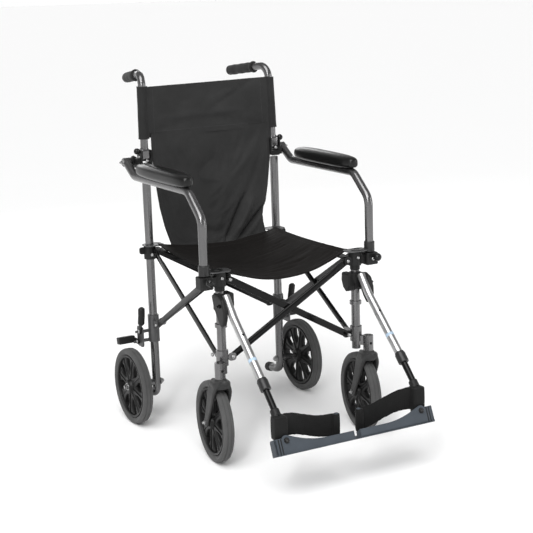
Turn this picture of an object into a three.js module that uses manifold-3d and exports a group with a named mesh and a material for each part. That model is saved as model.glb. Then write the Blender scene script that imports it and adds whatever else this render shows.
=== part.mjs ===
// Folding transport wheelchair. Millimetres, +Z up, the chair faces -Y, floor at z = 0.
// SIDES: 'right' is the seated person's right hand (-X), 'left' is +X.
import * as THREE from 'three';
import Module from 'manifold-3d';

const manifold = await Module();
manifold.setup();
const { Manifold, Mesh: ManifoldMesh } = manifold;

// ---------- driving dimensions ----------
const POST_X = 190;           // post centres to the middle plane
const REAR_Y = 200;           // rear post centre line
const FRONT_Y = -200;         // front post centre line
const POST_R = 11;            // round frame tube
const BRACE_SPAN = 330;       // pivot to pivot across every side when open
const LOWER_Z = 265;          // lower brace pivots
const UPPER_Z = 455;          // upper brace pivots
const WHEEL_R = 101;          // all four wheels
const WHEEL_X = 257;          // rear wheel centre plane
const TYRE_W = 28;
const CASTER_X = 210;         // swivel stem
const CASTER_Y = -225;
const CASTER_TRAIL = 50;
const HINGE_Z = 706;          // back hinge
const HINGE_Y = 203;
const HANDLE_Z = 915;         // top of the handle bend, centre line
const HANDLE_END = [156, 370, 898];
const ARM_X = 231;            // armrest centre plane
const ARM_PIVOT = [0, 230, 694];
const FOOT_X = 189;           // hanger plane
const ORIGIN_Y = 61.753;        // moves the middle of the box to y = 0
const GAP = 0.35;             // clearance between neighbouring pieces

const PIVOT = BRACE_SPAN / 2;  // every brace pivot lies this far from the middle
const MID_Z = (LOWER_Z + UPPER_Z) / 2;

// ---------- materials ----------
const paint = (color, roughness, metalness = 0) =>
  new THREE.MeshStandardMaterial({ color, roughness, metalness });
const SILVER = paint(0x8f9294, 0.38, 0.7);
const POLISHED = paint(0xc4c7c9, 0.2, 0.95);
const BLACK_STEEL = paint(0x141415, 0.3, 0.35);
const DARK_STEEL = paint(0x3a3c3e, 0.45, 0.6);
const BLACK_PLASTIC = paint(0x1b1c1e, 0.55);
const SLATE_PLASTIC = paint(0x525c68, 0.5);
const RUBBER = paint(0x1e1e20, 0.85);
const TYRE = paint(0x55575a, 0.85);
const PAD_SKIN = paint(0x0c0c0d, 0.25);
const NYLON = paint(0x1a1918, 0.8);

// ---------- geometry helpers ----------
const V = (x, y, z) => new THREE.Vector3(x, y, z);

function toManifold(geometry) {
  const g = geometry.index ? geometry.toNonIndexed() : geometry;
  const p = g.attributes.position.array;
  const mesh = new ManifoldMesh({
    numProp: 3,
    vertProperties: new Float32Array(p),
    triVerts: new Uint32Array(p.length / 3).map((_, i) => i),
  });
  mesh.merge();
  return new Manifold(mesh);
}

function fromManifold(solid) {
  const { vertProperties, triVerts, numProp } = solid.asOriginal().simplify(0.02).getMesh();
  const g = new THREE.BufferGeometry();
  const p = new Float32Array((vertProperties.length / numProp) * 3);
  for (let i = 0; i < p.length / 3; i++)
    for (let k = 0; k < 3; k++) p[3 * i + k] = vertProperties[numProp * i + k];
  g.setAttribute('position', new THREE.BufferAttribute(p, 3));
  g.setIndex(new THREE.BufferAttribute(new Uint32Array(triVerts), 1));
  return g;
}

const union = (...parts) =>
  fromManifold(Manifold.union(parts.map(toManifold)));
const cut = (base, ...tools) =>
  fromManifold(toManifold(base).subtract(Manifold.union(tools.map(toManifold))));

// Places a geometry: turns first (about X, then Y, then Z, degrees), then moves.
function place(g, [x, y, z] = [0, 0, 0], [rx, ry, rz] = [0, 0, 0]) {
  const d = Math.PI / 180;
  g.applyMatrix4(new THREE.Matrix4().makeRotationFromEuler(new THREE.Euler(rx * d, ry * d, rz * d, 'ZYX')));
  return g.translate(x, y, z);
}
const box = (w, d, h, at, turn) => place(new THREE.BoxGeometry(w, d, h), at, turn);
const alongZ = (r, h, at, seg = 14) => place(new THREE.CylinderGeometry(r, r, h, seg), at, [90, 0, 0]);
const alongX = (r, h, at, seg = 14) => place(new THREE.CylinderGeometry(r, r, h, seg), at, [0, 0, 90]);
const alongY = (r, h, at, seg = 14) => place(new THREE.CylinderGeometry(r, r, h, seg), at);
const ball = (r, at) => place(new THREE.SphereGeometry(r, 12, 7), at);

// A rounded plate: the outline is drawn in XY, the thickness is along Z, centred.
function plate(shape, thickness, bevel = 0, curveSegments = 3) {
  const g = new THREE.ExtrudeGeometry(shape, {
    depth: thickness - 2 * bevel, bevelEnabled: bevel > 0, bevelThickness: bevel,
    bevelSize: bevel, bevelOffset: -bevel, bevelSegments: 1, curveSegments,
  });
  return g.translate(0, 0, -(thickness - 2 * bevel) / 2);
}

function roundedRect(w, h, r) {
  const s = new THREE.Shape();
  s.moveTo(-w / 2 + r, -h / 2);
  s.absarc(w / 2 - r, -h / 2 + r, r, -Math.PI / 2, 0, false);
  s.absarc(w / 2 - r, h / 2 - r, r, 0, Math.PI / 2, false);
  s.absarc(-w / 2 + r, h / 2 - r, r, Math.PI / 2, Math.PI, false);
  s.absarc(-w / 2 + r, -h / 2 + r, r, Math.PI, 1.5 * Math.PI, false);
  return s;
}

const disc = (r) => new THREE.Shape().absarc(0, 0, r, 0, 2 * Math.PI, false);
function ring(r, hole) {
  const s = disc(r);
  s.holes.push(new THREE.Path().absarc(0, 0, hole, 0, 2 * Math.PI, true));
  return s;
}

// A centre line through corner points, each inner corner rounded to its radius.
class BentLine extends THREE.Curve {
  constructor(points, radius) {
    super();
    this.points = [points[0]];
    for (let i = 1; i < points.length - 1; i++) {
      const before = points[i - 1].clone().sub(points[i]).normalize();
      const after = points[i + 1].clone().sub(points[i]).normalize();
      const half = before.angleTo(after) / 2;
      const r = Array.isArray(radius) ? radius[i - 1] : radius;
      const back = r / Math.tan(half);
      const centre = before.clone().add(after).normalize().multiplyScalar(r / Math.sin(half)).add(points[i]);
      const from = points[i].clone().addScaledVector(before, back).sub(centre);
      const to = points[i].clone().addScaledVector(after, back).sub(centre);
      const turn = Math.PI - 2 * half;
      const axis = from.clone().cross(to).normalize();
      const steps = Math.max(2, Math.ceil(turn / 0.35));
      for (let k = 0; k <= steps; k++)
        this.points.push(from.clone().applyAxisAngle(axis, (turn * k) / steps).add(centre));
    }
    this.points.push(points[points.length - 1]);
  }
  getPoint(t) {
    const u = t * (this.points.length - 1);
    const i = Math.min(Math.floor(u), this.points.length - 2);
    return this.points[i].clone().lerp(this.points[i + 1], u - i);
  }
  getPointAt(t) { return this.getPoint(t); }
  getTangent(t) {
    const last = this.points.length - 1;
    const i = Math.round(t * last);
    const a = this.points[Math.max(i - 1, 0)], b = this.points[Math.min(i + 1, last)];
    return b.clone().sub(a).normalize();
  }
  getTangentAt(t) { return this.getTangent(t); }
}

// A bent tube (solid, or hollow when bore is given).
function tube(points, radius, bend, { bore = 0, sides = 7 } = {}) {
  const path = new BentLine(points.map((p) => V(...p)), bend);
  const shape = bore ? ring(radius, bore) : disc(radius);
  return new THREE.ExtrudeGeometry(shape, {
    extrudePath: path, steps: path.points.length - 1, curveSegments: sides, bevelEnabled: false,
  });
}

// ---------- assembly ----------
const chair = new THREE.Group();
chair.position.y = ORIGIN_Y;

function add(name, geometry, material) {
  const mesh = new THREE.Mesh(geometry, material);
  mesh.name = name;
  chair.add(mesh);
}

// Pieces of one side are drawn for +X. The other side is their mirror image.
const SIDES = [['right', -1], ['left', 1]];
function addPair(name, build, material) {
  for (const [side, sign] of SIDES) {
    const geometry = build(side);
    if (sign < 0) {
      geometry.scale(-1, 1, 1);
      flip(geometry);
    }
    add(`${name}_${side}`, geometry, material);
  }
}

// Reverses the winding of every triangle after a mirror.
function flip(geometry) {
  if (!geometry.index) {
    const p = geometry.attributes.position;
    for (let i = 0; i < p.count; i += 3)
      for (let k = 0; k < 3; k++) {
        const t = p.getComponent(i, k);
        p.setComponent(i, k, p.getComponent(i + 2, k));
        p.setComponent(i + 2, k, t);
      }
  } else {
    const a = geometry.index.array;
    for (let i = 0; i < a.length; i += 3) [a[i], a[i + 2]] = [a[i + 2], a[i]];
  }
}

// ---------- rear posts ----------
const TIP = [POST_X, 268, 60];
const POST_BOTTOM_Z = 70;
function rearPost() {
  const body = tube([[POST_X, REAR_Y, HINGE_Z - 34], [POST_X, REAR_Y, POST_BOTTOM_Z], TIP], POST_R, 24);
  const inner = POST_X - 16, outer = WHEEL_X + 26;
  const axle = alongX(6, outer - inner, [(outer + inner) / 2, REAR_Y, WHEEL_R], 16);
  const spacer = alongX(9, 30, [POST_X + 22, REAR_Y, WHEEL_R], 16);
  const bolt = alongX(9, 5, [POST_X - 15, REAR_Y, WHEEL_R], 6);
  return union(body, axle, spacer, bolt);
}
addPair('rear_post', rearPost, SILVER);

// ---------- back hinge and folding back ----------
const HINGE_BRACKET_H = 50;
const KNOB_Z = 720;           // release knob of the back
function backHinge() {
  const shell = plate(roundedRect(30, HINGE_BRACKET_H, 6), 31, 1.5, 2);
  const body = place(shell, [POST_X, REAR_Y + 2.5, HINGE_Z - 5], [90, 0, 0]);
  const post = alongZ(POST_R + GAP, 60, [POST_X, REAR_Y, HINGE_Z - 34 - 30 + GAP]);
  const slot = box(24.7, 40, 60, [POST_X, HINGE_Y + 4, HINGE_Z + 12.5]);
  const pin = alongX(4.5, 32, [POST_X, HINGE_Y, HINGE_Z], 12);
  const stalk = alongX(4, 8, [POST_X + 16, REAR_Y + 2, KNOB_Z], 12);
  const knob = union(stalk, ball(7.5, [POST_X + 21, REAR_Y + 2, KNOB_Z + 2]));
  const [, y, z] = ARM_PIVOT;
  const arm = cut(
    union(
      box(4, y - REAR_Y + 12, 24, [POST_X + 20, (y + REAR_Y) / 2, HINGE_Z - 16]),
      alongX(14, 4, [POST_X + 20, y, z])),
    alongX(7 + GAP, 60, [POST_X + 20, y, z], 12));
  const foot = box(12, 14, 24, [POST_X + 15, REAR_Y, HINGE_Z - 16]);
  return union(cut(union(body, foot), post, slot), arm, pin, knob);
}
addPair('back_hinge', backHinge, BLACK_PLASTIC);

const BACK_LINE = [[POST_X - 1, HINGE_Y + 1, HINGE_Z + 16], [POST_X - 5.5, 210, HANDLE_Z + 3], HANDLE_END];
function backTube() {
  const body = tube(BACK_LINE, POST_R - 1, 30);
  const eye = place(plate(roundedRect(22, 34, 9), 20, 0), [POST_X, HINGE_Y, HINGE_Z + 6], [90, 0, 90]);
  return cut(union(body, eye), alongX(4.5 + GAP, 40, [POST_X, HINGE_Y, HINGE_Z], 12));
}
addPair('back_tube', backTube, SILVER);

const GRIP_LENGTH = 112;
function grip() {
  const from = V(...BACK_LINE[1]), to = V(...BACK_LINE[2]);
  const along = to.clone().sub(from).normalize();
  const bore = POST_R - 1 + GAP;
  const profile = [[bore, 0], [15.5, 0], [15.5, 4], [13.6, 7]];
  for (let z = 16; z < GRIP_LENGTH - 12; z += 45) profile.push([13.4, z], [14.2, z + 22]);
  profile.push([13.6, GRIP_LENGTH - 4], [11, GRIP_LENGTH], [0, GRIP_LENGTH]);
  profile.push([0, GRIP_LENGTH - 8], [bore, GRIP_LENGTH - 8], [bore, 0]);
  const g = new THREE.LatheGeometry(profile.map(([r, z]) => new THREE.Vector2(r, z)), 14);
  g.applyQuaternion(new THREE.Quaternion().setFromUnitVectors(V(0, 1, 0), along));
  const start = to.clone().addScaledVector(along, -(GRIP_LENGTH - 8 - GAP));
  return g.translate(start.x, start.y, start.z);
}
addPair('grip', grip, RUBBER);

// ---------- scissor braces ----------
// Two flat bars cross on each face of the frame. The outer one carries the centre pin.
const BAR_T = 4;
const BAR_W = 17;
const LAYER = 2.6;            // a bar's middle, outwards or inwards from the post centres
const PIN_R = 3.5;
const BAR_ANGLE = Math.atan2(UPPER_Z - LOWER_Z, BRACE_SPAN);
const BAR_LENGTH = Math.hypot(UPPER_Z - LOWER_Z, BRACE_SPAN);

// Along X, flat in XZ. The outer bar's pin points to +Y.
function bar(outer) {
  const r = BAR_W / 2, h = BAR_LENGTH / 2;
  const outline = new THREE.Shape();
  outline.absarc(h, 0, r, -Math.PI / 2, Math.PI / 2, false);
  outline.absarc(-h, 0, r, Math.PI / 2, 1.5 * Math.PI, false);
  const hole = (x) => alongY(PIN_R + GAP, 20, [x, 0, 0], 8);
  const flat = place(plate(outline, BAR_T, 0, 4), [0, 0, 0], [90, 0, 0]);
  if (!outer) return cut(flat, hole(-h), hole(0), hole(h));
  const pin = alongY(PIN_R, 2 * LAYER + BAR_T + 2, [0, LAYER + 1, 0], 8);
  const head = alongY(6.5, 2, [0, 2 * LAYER + BAR_T / 2 + GAP + 1.2, 0], 10);
  return union(cut(flat, hole(-h), hole(h)), pin, head);
}

// A bar leaning up towards +X on the front face, or its turned copy on another face.
function faceBar(face, lean, outer) {
  const g = bar(outer).rotateY(-BAR_ANGLE * lean);
  const out = outer ? LAYER : -LAYER;
  if (face === 'front') return g.translate(0, FRONT_Y - out, MID_Z);
  if (face === 'rear') return g.rotateZ(Math.PI).translate(0, REAR_Y + out, MID_Z);
  return g.rotateZ(Math.PI / 2).translate(POST_X + out, 0, MID_Z);
}
// "a" bars are low at the right end, or on a side face at the rear end; "b" bars lean the other way.
add('rear_brace_a', faceBar('rear', -1, false), BLACK_STEEL);
add('rear_brace_b', faceBar('rear', 1, true), BLACK_STEEL);
add('front_brace_a', faceBar('front', 1, true), BLACK_STEEL);
add('front_brace_b', faceBar('front', -1, false), BLACK_STEEL);
addPair('side_brace_a', () => faceBar('side', -1, true), DARK_STEEL);
addPair('side_brace_b', () => faceBar('side', 1, false), BLACK_STEEL);

// ---------- lugs: a cheek with a pin, joined to the sleeve on a post ----------
const CHEEK_T = 3;
const CHEEK_OUT = BAR_T / 2 + 0.5 + CHEEK_T / 2;
// along: 'x' for a front or rear bar, 'y' for a side bar. The cheek lies on the far side
// of its bar, so that the two crossing bars pass between the cheeks.
function lug([px, py], z, along, outer) {
  const [post, pivotAt] = along === 'x' ? [px, PIVOT] : [py, Math.sign(py) * PIVOT];
  const way = Math.sign(post);
  const reach = Math.abs(post - pivotAt) - POST_R - 2 + 9;
  const middle = pivotAt - way * 9 + (way * reach) / 2;
  const out = outer ? 1 : -1;
  const outward = along === 'x' ? Math.sign(py) : 1;
  const bar = (along === 'x' ? py : px) + outward * out * LAYER;
  const cheek = bar + outward * out * CHEEK_OUT;
  const pin = bar + outward * out * 0.5;
  const shape = roundedRect(reach, 19, 7);
  return along === 'x'
    ? [
      place(plate(shape, CHEEK_T), [middle, cheek, z], [90, 0, 0]),
      alongY(PIN_R, BAR_T + 4.4, [pivotAt, pin, z], 8)]
    : [
      place(plate(shape, CHEEK_T), [cheek, middle, z], [90, 0, 90]),
      alongX(PIN_R, BAR_T + 4.4, [pin, pivotAt, z], 8)];
}
// Which bar of each face ends at a corner. The +X side is drawn, so the front and rear
// faces need to know which real side this is.
const isOuter = {
  front: (level, side) => (level === 'lower') === (side === 'right'),
  rear: (level, side) => (level === 'lower') === (side === 'left'),
  side: (level, end) => (level === 'lower') === (end === 'rear'),
};
function cornerLugs(end, level, side, z) {
  const corner = [POST_X, end === 'rear' ? REAR_Y : FRONT_Y];
  return [
    ...lug(corner, z, 'x', isOuter[end](level, side)),
    ...lug(corner, z, 'y', isOuter.side(level, end)),
  ];
}
const sleeve = (r, z0, z1, [x, y]) => alongZ(r, z1 - z0, [x, y, (z0 + z1) / 2]);
const REAR_POST = [POST_X, REAR_Y], FRONT_POST = [POST_X, FRONT_Y];

// ---------- rear corner brackets, sliding on the rear posts ----------
function rearBracket(side) {
  const body = sleeve(16, UPPER_Z - 17, UPPER_Z + 18, REAR_POST);
  const shelf = box(24, 42, 4, [POST_X - 22, REAR_Y - 26, UPPER_Z + 7]);
  const tab = place(plate(roundedRect(26, 18, 5), 5, 0, 3), [POST_X + 16, REAR_Y, UPPER_Z + 6], [90, 0, 0]);
  const bore = sleeve(POST_R + 1, UPPER_Z - 30, UPPER_Z + 40, REAR_POST);
  return union(cut(union(body, shelf, tab), bore), ...cornerLugs('rear', 'upper', side, UPPER_Z));
}
addPair('rear_bracket', rearBracket, BLACK_PLASTIC);

// ---------- front corner brackets, telescoping into the front posts ----------
const FRONT_POST_TOP = 438;
const FRONT_POST_BOTTOM = 226;
const INNER_TUBE_R = 8.6;
const BLOCK = { x: ARM_X, y: -204, top: 470, height: 30 };
function frontBracket(side) {
  const body = sleeve(16, UPPER_Z - 14, UPPER_Z + 22, FRONT_POST);
  const inner = sleeve(INNER_TUBE_R, 262, UPPER_Z, FRONT_POST);
  const recess = sleeve(8, UPPER_Z + 12, UPPER_Z + 40, FRONT_POST);
  const shelf = box(24, 42, 4, [POST_X - 22, FRONT_Y + 26, UPPER_Z + 7]);
  const casting = plate(roundedRect(34, 34, 6), BLOCK.height, 1.5, 2);
  const block = place(casting, [BLOCK.x, BLOCK.y, BLOCK.top - BLOCK.height / 2]);
  const web = box(30, 14, 22, [POST_X + 22, FRONT_Y - 3, UPPER_Z]);
  const stalk = alongY(4, 20, [BLOCK.x + 2, BLOCK.y - 24, BLOCK.top - 8], 8);
  const knob = ball(9.5, [BLOCK.x + 2, BLOCK.y - 34, BLOCK.top - 8]);
  const lugs = cornerLugs('front', 'upper', side, UPPER_Z);
  return union(cut(union(body, shelf, block, web), recess), inner, stalk, knob, ...lugs);
}
addPair('front_bracket', frontBracket, BLACK_PLASTIC);

// ---------- front posts with lower collar and caster housing ----------
const HOUSING = { r: 13, bottom: 223, top: 262 };
const STEM_R = 7.5;
function frontPost(side) {
  const post = sleeve(POST_R, FRONT_POST_BOTTOM, FRONT_POST_TOP, FRONT_POST);
  const collar = sleeve(15, 246, 284, FRONT_POST);
  const housing = sleeve(HOUSING.r, HOUSING.bottom, HOUSING.top, [CASTER_X, CASTER_Y]);
  const turn = (Math.atan2(CASTER_Y - FRONT_Y, CASTER_X - POST_X) * 180) / Math.PI;
  const web = box(26, 12, 24, [(POST_X + CASTER_X) / 2, (FRONT_Y + CASTER_Y) / 2, 248], [0, 0, turn]);
  const bore = sleeve(INNER_TUBE_R + 0.7, 200, FRONT_POST_TOP + 10, FRONT_POST);
  const stemBore = sleeve(STEM_R + GAP, 200, 300, [CASTER_X, CASTER_Y]);
  const lugs = cornerLugs('front', 'lower', side, LOWER_Z);
  return cut(union(post, collar, housing, web, ...lugs), bore, stemBore);
}
addPair('front_post', frontPost, SILVER);

// ---------- rear lower collars, which also carry the brakes ----------
const BRAKE_PIVOT = [0, 210, 243];
const SHOE_PIVOT = [0, 224, 212];
const BRAKE_X = POST_X + 33;
function rearCollar(side) {
  const body = sleeve(15, 214, 286, REAR_POST);
  const boltMiddle = (BRAKE_X + POST_X) / 2 + 4;
  const arms = [243, 218].map((z) => alongX(4.5, BRAKE_X - POST_X - 8, [boltMiddle, 206, z], 10));
  const carrier = place(plate(roundedRect(36, 54, 8), 4, 0, 3), [BRAKE_X, 214, 228], [90, 0, 90]);
  const pins = [BRAKE_PIVOT, SHOE_PIVOT].map(([, y, z]) => alongX(3.4, 16, [BRAKE_X + 8, y, z], 8));
  const bore = sleeve(POST_R + GAP, 190, 300, REAR_POST);
  const lugs = cornerLugs('rear', 'lower', side, LOWER_Z);
  return union(cut(union(body, ...arms, carrier), bore), ...pins, ...lugs);
}
addPair('rear_collar', rearCollar, BLACK_PLASTIC);

// ---------- brakes ----------
const LEVER_X = BRAKE_X + 2 + GAP + 2;
function brakeLever() {
  const top = [LEVER_X, 193, 290];
  const outline = new THREE.Shape();
  outline.absarc(0, 0, 9, Math.PI, 2 * Math.PI, false);
  outline.lineTo(-8, 28);
  outline.lineTo(-20, 26);
  const arm = place(plate(outline, 4, 0, 3), [LEVER_X, BRAKE_PIVOT[1], BRAKE_PIVOT[2]], [90, 0, 90]);
  const grip = place(plate(roundedRect(17, 50, 7), 17, 4, 3), top, [90 + 8, 0, 90]);
  return cut(union(arm, grip), alongX(3.4 + GAP, 60, [LEVER_X, BRAKE_PIVOT[1], BRAKE_PIVOT[2]], 8));
}
addPair('brake_lever', brakeLever, BLACK_PLASTIC);

const SHOE = [WHEEL_X - 1, 250, 212];
function brakeShoe() {
  const [, py, pz] = SHOE_PIVOT;
  const dy = SHOE[1] - py, dz = SHOE[2] - pz;
  const lean = (Math.atan2(dz, dy) * 180) / Math.PI;
  const arm = box(4, Math.hypot(dy, dz) + 14, 14, [LEVER_X, (py + SHOE[1]) / 2, (pz + SHOE[2]) / 2], [lean, 0, 0]);
  const inner = LEVER_X - 2, outer = SHOE[0] + 14;
  const block = box(outer - inner, 20, 16, [(outer + inner) / 2, SHOE[1] + 4, SHOE[2] + 1], [-12, 0, 0]);
  return cut(union(arm, block), alongX(3.4 + GAP, 60, [LEVER_X, py, pz], 8));
}
addPair('brake_shoe', brakeShoe, BLACK_STEEL);

// ---------- wheels ----------
const TYRE_INNER = WHEEL_R - 17;
function tyre(width) {
  const w = width / 2, r = WHEEL_R, i = TYRE_INNER + 0.8;
  const profile = [[i, -w + 5], [r - 8, -w], [r, -w + 7], [r, w - 7], [r - 8, w], [i, w - 5], [i, -w + 5]];
  return new THREE.LatheGeometry(profile.map(([x, y]) => new THREE.Vector2(x, y)), 32).rotateZ(Math.PI / 2);
}

function hub(width, spokes, boreR) {
  const rimW = width - 10;
  const rim = place(plate(ring(TYRE_INNER, TYRE_INNER - 7), rimW, 0, 16), [0, 0, 0], [0, 90, 0]);
  const barrel = alongX(17, width + 6, [0, 0, 0]);
  const parts = [rim, barrel];
  const reach = TYRE_INNER - 4 - 12;
  for (let i = 0; i < spokes; i++) {
    const a = (2 * Math.PI * i) / spokes;
    const spoke = box(rimW * 0.55, 11, reach);
    spoke.translate(0, 0, 12 + reach / 2).rotateX(a);
    parts.push(spoke);
  }
  return cut(union(...parts), alongX(boreR + GAP, 80, [0, 0, 0], 12));
}
const atRearWheel = (g) => g.translate(WHEEL_X, REAR_Y, WHEEL_R);
const CASTER_AXLE = [CASTER_X, CASTER_Y + CASTER_TRAIL, WHEEL_R];
const CASTER_W = 28;
// The casters stand slightly turned, as they do after the chair has been pushed.
const CASTER_YAW = { right: -6, left: -8 };
function swivelled(g, side) {
  const mirror = side === 'right' ? -1 : 1;      // the right one is drawn at +X and mirrored
  return g.translate(-CASTER_X, -CASTER_Y, 0)
    .rotateZ((mirror * CASTER_YAW[side] * Math.PI) / 180)
    .translate(CASTER_X, CASTER_Y, 0);
}
addPair('rear_tyre', () => atRearWheel(tyre(TYRE_W)), TYRE);
addPair('rear_hub', () => atRearWheel(hub(TYRE_W, 8, 6)), BLACK_PLASTIC);
addPair('caster_tyre', (side) => swivelled(tyre(CASTER_W).translate(...CASTER_AXLE), side), TYRE);
addPair('caster_hub', (side) => swivelled(hub(CASTER_W, 8, 5).translate(...CASTER_AXLE), side), BLACK_PLASTIC);

const FORK_HALF = 20.5;
function casterFork(side) {
  const stem = sleeve(STEM_R, 212, 259, [CASTER_X, CASTER_Y]);
  const flange = sleeve(14, 213, 220, [CASTER_X, CASTER_Y]);
  const crown = place(plate(roundedRect(2 * FORK_HALF + 5, 40, 8), 8, 1, 3), [CASTER_X, CASTER_Y + 4, 211]);
  const parts = [stem, flange, crown];
  for (const s of [-1, 1]) {
    const leg = new THREE.Shape();
    leg.moveTo(-20, 110);
    leg.lineTo(22, 110);
    leg.quadraticCurveTo(26, 60, CASTER_TRAIL + 11, 2);
    leg.absarc(CASTER_TRAIL, 0, 11, 0, -Math.PI, true);
    leg.quadraticCurveTo(0, 50, -20, 110);
    parts.push(place(plate(leg, 5, 0, 3), [CASTER_X + s * FORK_HALF, CASTER_Y, WHEEL_R], [90, 0, 90]));
  }
  parts.push(alongX(5, 2 * FORK_HALF + 12, CASTER_AXLE, 12));
  return swivelled(union(...parts), side);
}
addPair('caster_fork', casterFork, DARK_STEEL);

// ---------- armrests ----------
const PLATE_X = POST_X + 20;  // fixed plate that carries the armrest pivot
function armStub() {
  const [, y, z] = ARM_PIVOT;
  const inner = PLATE_X - 8, outer = ARM_X - 4;
  return union(
    alongX(7, outer - inner, [(outer + inner) / 2, y, z], 12),
    alongX(11, 4, [PLATE_X - 5, y, z]),
    alongX(11, 3, [PLATE_X + 5, y, z]));
}
addPair('arm_stub', armStub, DARK_STEEL);

const ARM_LINE = [[222, 690], [176, 662], [-136, 664], [-204, 606], [-204, 472]].map(([y, z]) => [ARM_X, y, z]);
const PAD = { length: 284, width: 48, height: 28, middle: [ARM_X, 0, 688] };
function armTube() {
  const [, y, z] = ARM_PIVOT;
  const body = tube(ARM_LINE, POST_R - 0.5, [30, 40, 40]);
  const eye = alongX(15, 22, [ARM_X, y, z]);
  const boot = sleeve(13.5, 471, 498, [ARM_X, -204]);
  const studs = [-90, 80].map((dy) => alongZ(4, 16, [ARM_X, PAD.middle[1] + dy, 674], 12));
  return cut(union(body, eye, boot, ...studs), alongX(7 + GAP, 60, [ARM_X, y, z], 12));
}
addPair('arm_tube', armTube, SILVER);

function armPad() {
  const pad = place(plate(roundedRect(PAD.width, PAD.length, 21), PAD.height, 8, 4), PAD.middle);
  const channel = alongY(POST_R + 1.2, PAD.length + 60, [ARM_X, PAD.middle[1], 663]);
  const holes = [-90, 80].map((dy) => alongZ(4 + GAP, 17, [ARM_X, PAD.middle[1] + dy, 674.8], 12));
  return cut(pad, channel, ...holes);
}
addPair('arm_pad', armPad, PAD_SKIN);

// ---------- footrests ----------
function hangerBush() {
  return cut(sleeve(15, 341, 350, FRONT_POST), sleeve(POST_R + GAP, 300, 400, FRONT_POST));
}
addPair('hanger_bush', hangerBush, DARK_STEEL);

const HANGER_TOP = [FOOT_X, -236, 418], HANGER_END = [FOOT_X, -408, 245];
const CLAMP = { bottom: 352, top: 425 };
function hangerClamp() {
  const body = sleeve(17, CLAMP.bottom, CLAMP.top, FRONT_POST);
  const nose = box(26, 32, 46, [POST_X, FRONT_Y - 24, 401]);
  const hook = box(10, 26, 20, [POST_X - 17, FRONT_Y - 6, 412]);
  const bore = sleeve(POST_R + GAP, 300, 440, FRONT_POST);
  const socket = tube([HANGER_TOP, [FOOT_X, -300, 353.6]], 10.4, 0);
  return cut(union(body, nose, hook), bore, socket);
}
addPair('hanger_clamp', hangerClamp, BLACK_PLASTIC);

const HANGER_DIR = V(...HANGER_END).sub(V(...HANGER_TOP)).normalize();
const alongHanger = (t) => V(...HANGER_TOP).addScaledVector(HANGER_DIR, t).toArray();
const HANGER_LENGTH = V(...HANGER_END).distanceTo(V(...HANGER_TOP));
function hangerTube() {
  const body = tube([alongHanger(1), HANGER_END], 10, 0);
  const collar = tube([alongHanger(HANGER_LENGTH - 16), alongHanger(HANGER_LENGTH + 8)], 13, 0);
  return cut(union(body, collar), tube([alongHanger(-20), alongHanger(HANGER_LENGTH + 20)], 8.2, 0));
}
addPair('hanger_tube', hangerTube, POLISHED);

const PLATE_PIVOT = { x: FOOT_X - 6, z: 142 };
const HOLDER = { x: FOOT_X, y: -466, depth: 26, bottom: 140, top: 194 };
function extension() {
  const end = [FOOT_X, -462, 190.7];
  const body = tube([alongHanger(HANGER_LENGTH - 120), end], 7.6, 0);
  const holderMiddle = (HOLDER.top + HOLDER.bottom) / 2;
  const holder = box(30, HOLDER.depth, HOLDER.top - HOLDER.bottom, [HOLDER.x, HOLDER.y, holderMiddle]);
  const pivot = alongY(4, 36, [PLATE_PIVOT.x, -476, PLATE_PIVOT.z], 10);
  const tongue = box(18, 20, 30, [PLATE_PIVOT.x, HOLDER.y, PLATE_PIVOT.z - 5]);
  return union(body, holder, tongue, pivot);
}
addPair('footrest_extension', extension, BLACK_PLASTIC);

// The plate leans: its front wall tips back and its tread falls away towards the heels.
const STRAP_POST = { x: 30, y: -456, top: 168 };
const FOOTPLATE = { inner: 8, outer: 214, front: -504, depth: 76, z: 113, pitch: 23.5 };
const WALL = { t: 4, inner: 21, outer: 39, hump: 34, humpR: 11 };
function footplate() {
  const { inner, outer, front, depth, z, pitch } = FOOTPLATE;
  const wall = new THREE.Shape();
  wall.moveTo(inner, 0);
  wall.lineTo(outer, 0);
  wall.lineTo(outer, WALL.outer);
  wall.lineTo(PLATE_PIVOT.x + WALL.humpR, WALL.outer + 1);
  wall.absarc(PLATE_PIVOT.x, WALL.hump, WALL.humpR, 0.3, Math.PI / 2, false);
  wall.lineTo(FOOT_X - 18, 47);
  wall.quadraticCurveTo(FOOT_X - 50, 23, inner + 70, 22);
  wall.lineTo(inner, WALL.inner);
  wall.lineTo(inner, 0);
  const face = place(plate(wall, WALL.t, 0, 5), [0, WALL.t / 2, 0], [90, 0, 0]);
  const floor = new THREE.Shape();
  floor.moveTo(inner, 0);
  floor.lineTo(outer, 0);
  floor.lineTo(outer - 42, depth);
  floor.lineTo(inner, depth);
  floor.lineTo(inner, 0);
  const tread = plate(floor, 7).translate(0, 0, 3.5);
  const side = box(4, 26, 38, [outer - 2, 13, 19]);
  const lip = box(4, 22, 18, [inner + 2, 11, 9]);
  const g = place(union(face, tread, side, lip), [0, front, z], [-pitch, 0, 0]);
  const foot = 101;
  const postMiddle = (STRAP_POST.top + foot) / 2;
  const strapPost = alongZ(5, STRAP_POST.top - foot, [STRAP_POST.x, STRAP_POST.y, postMiddle], 10);
  return cut(union(g, strapPost), alongY(4 + GAP, 60, [PLATE_PIVOT.x, -490, PLATE_PIVOT.z], 10));
}
addPair('footplate', footplate, SLATE_PLASTIC);

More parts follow.
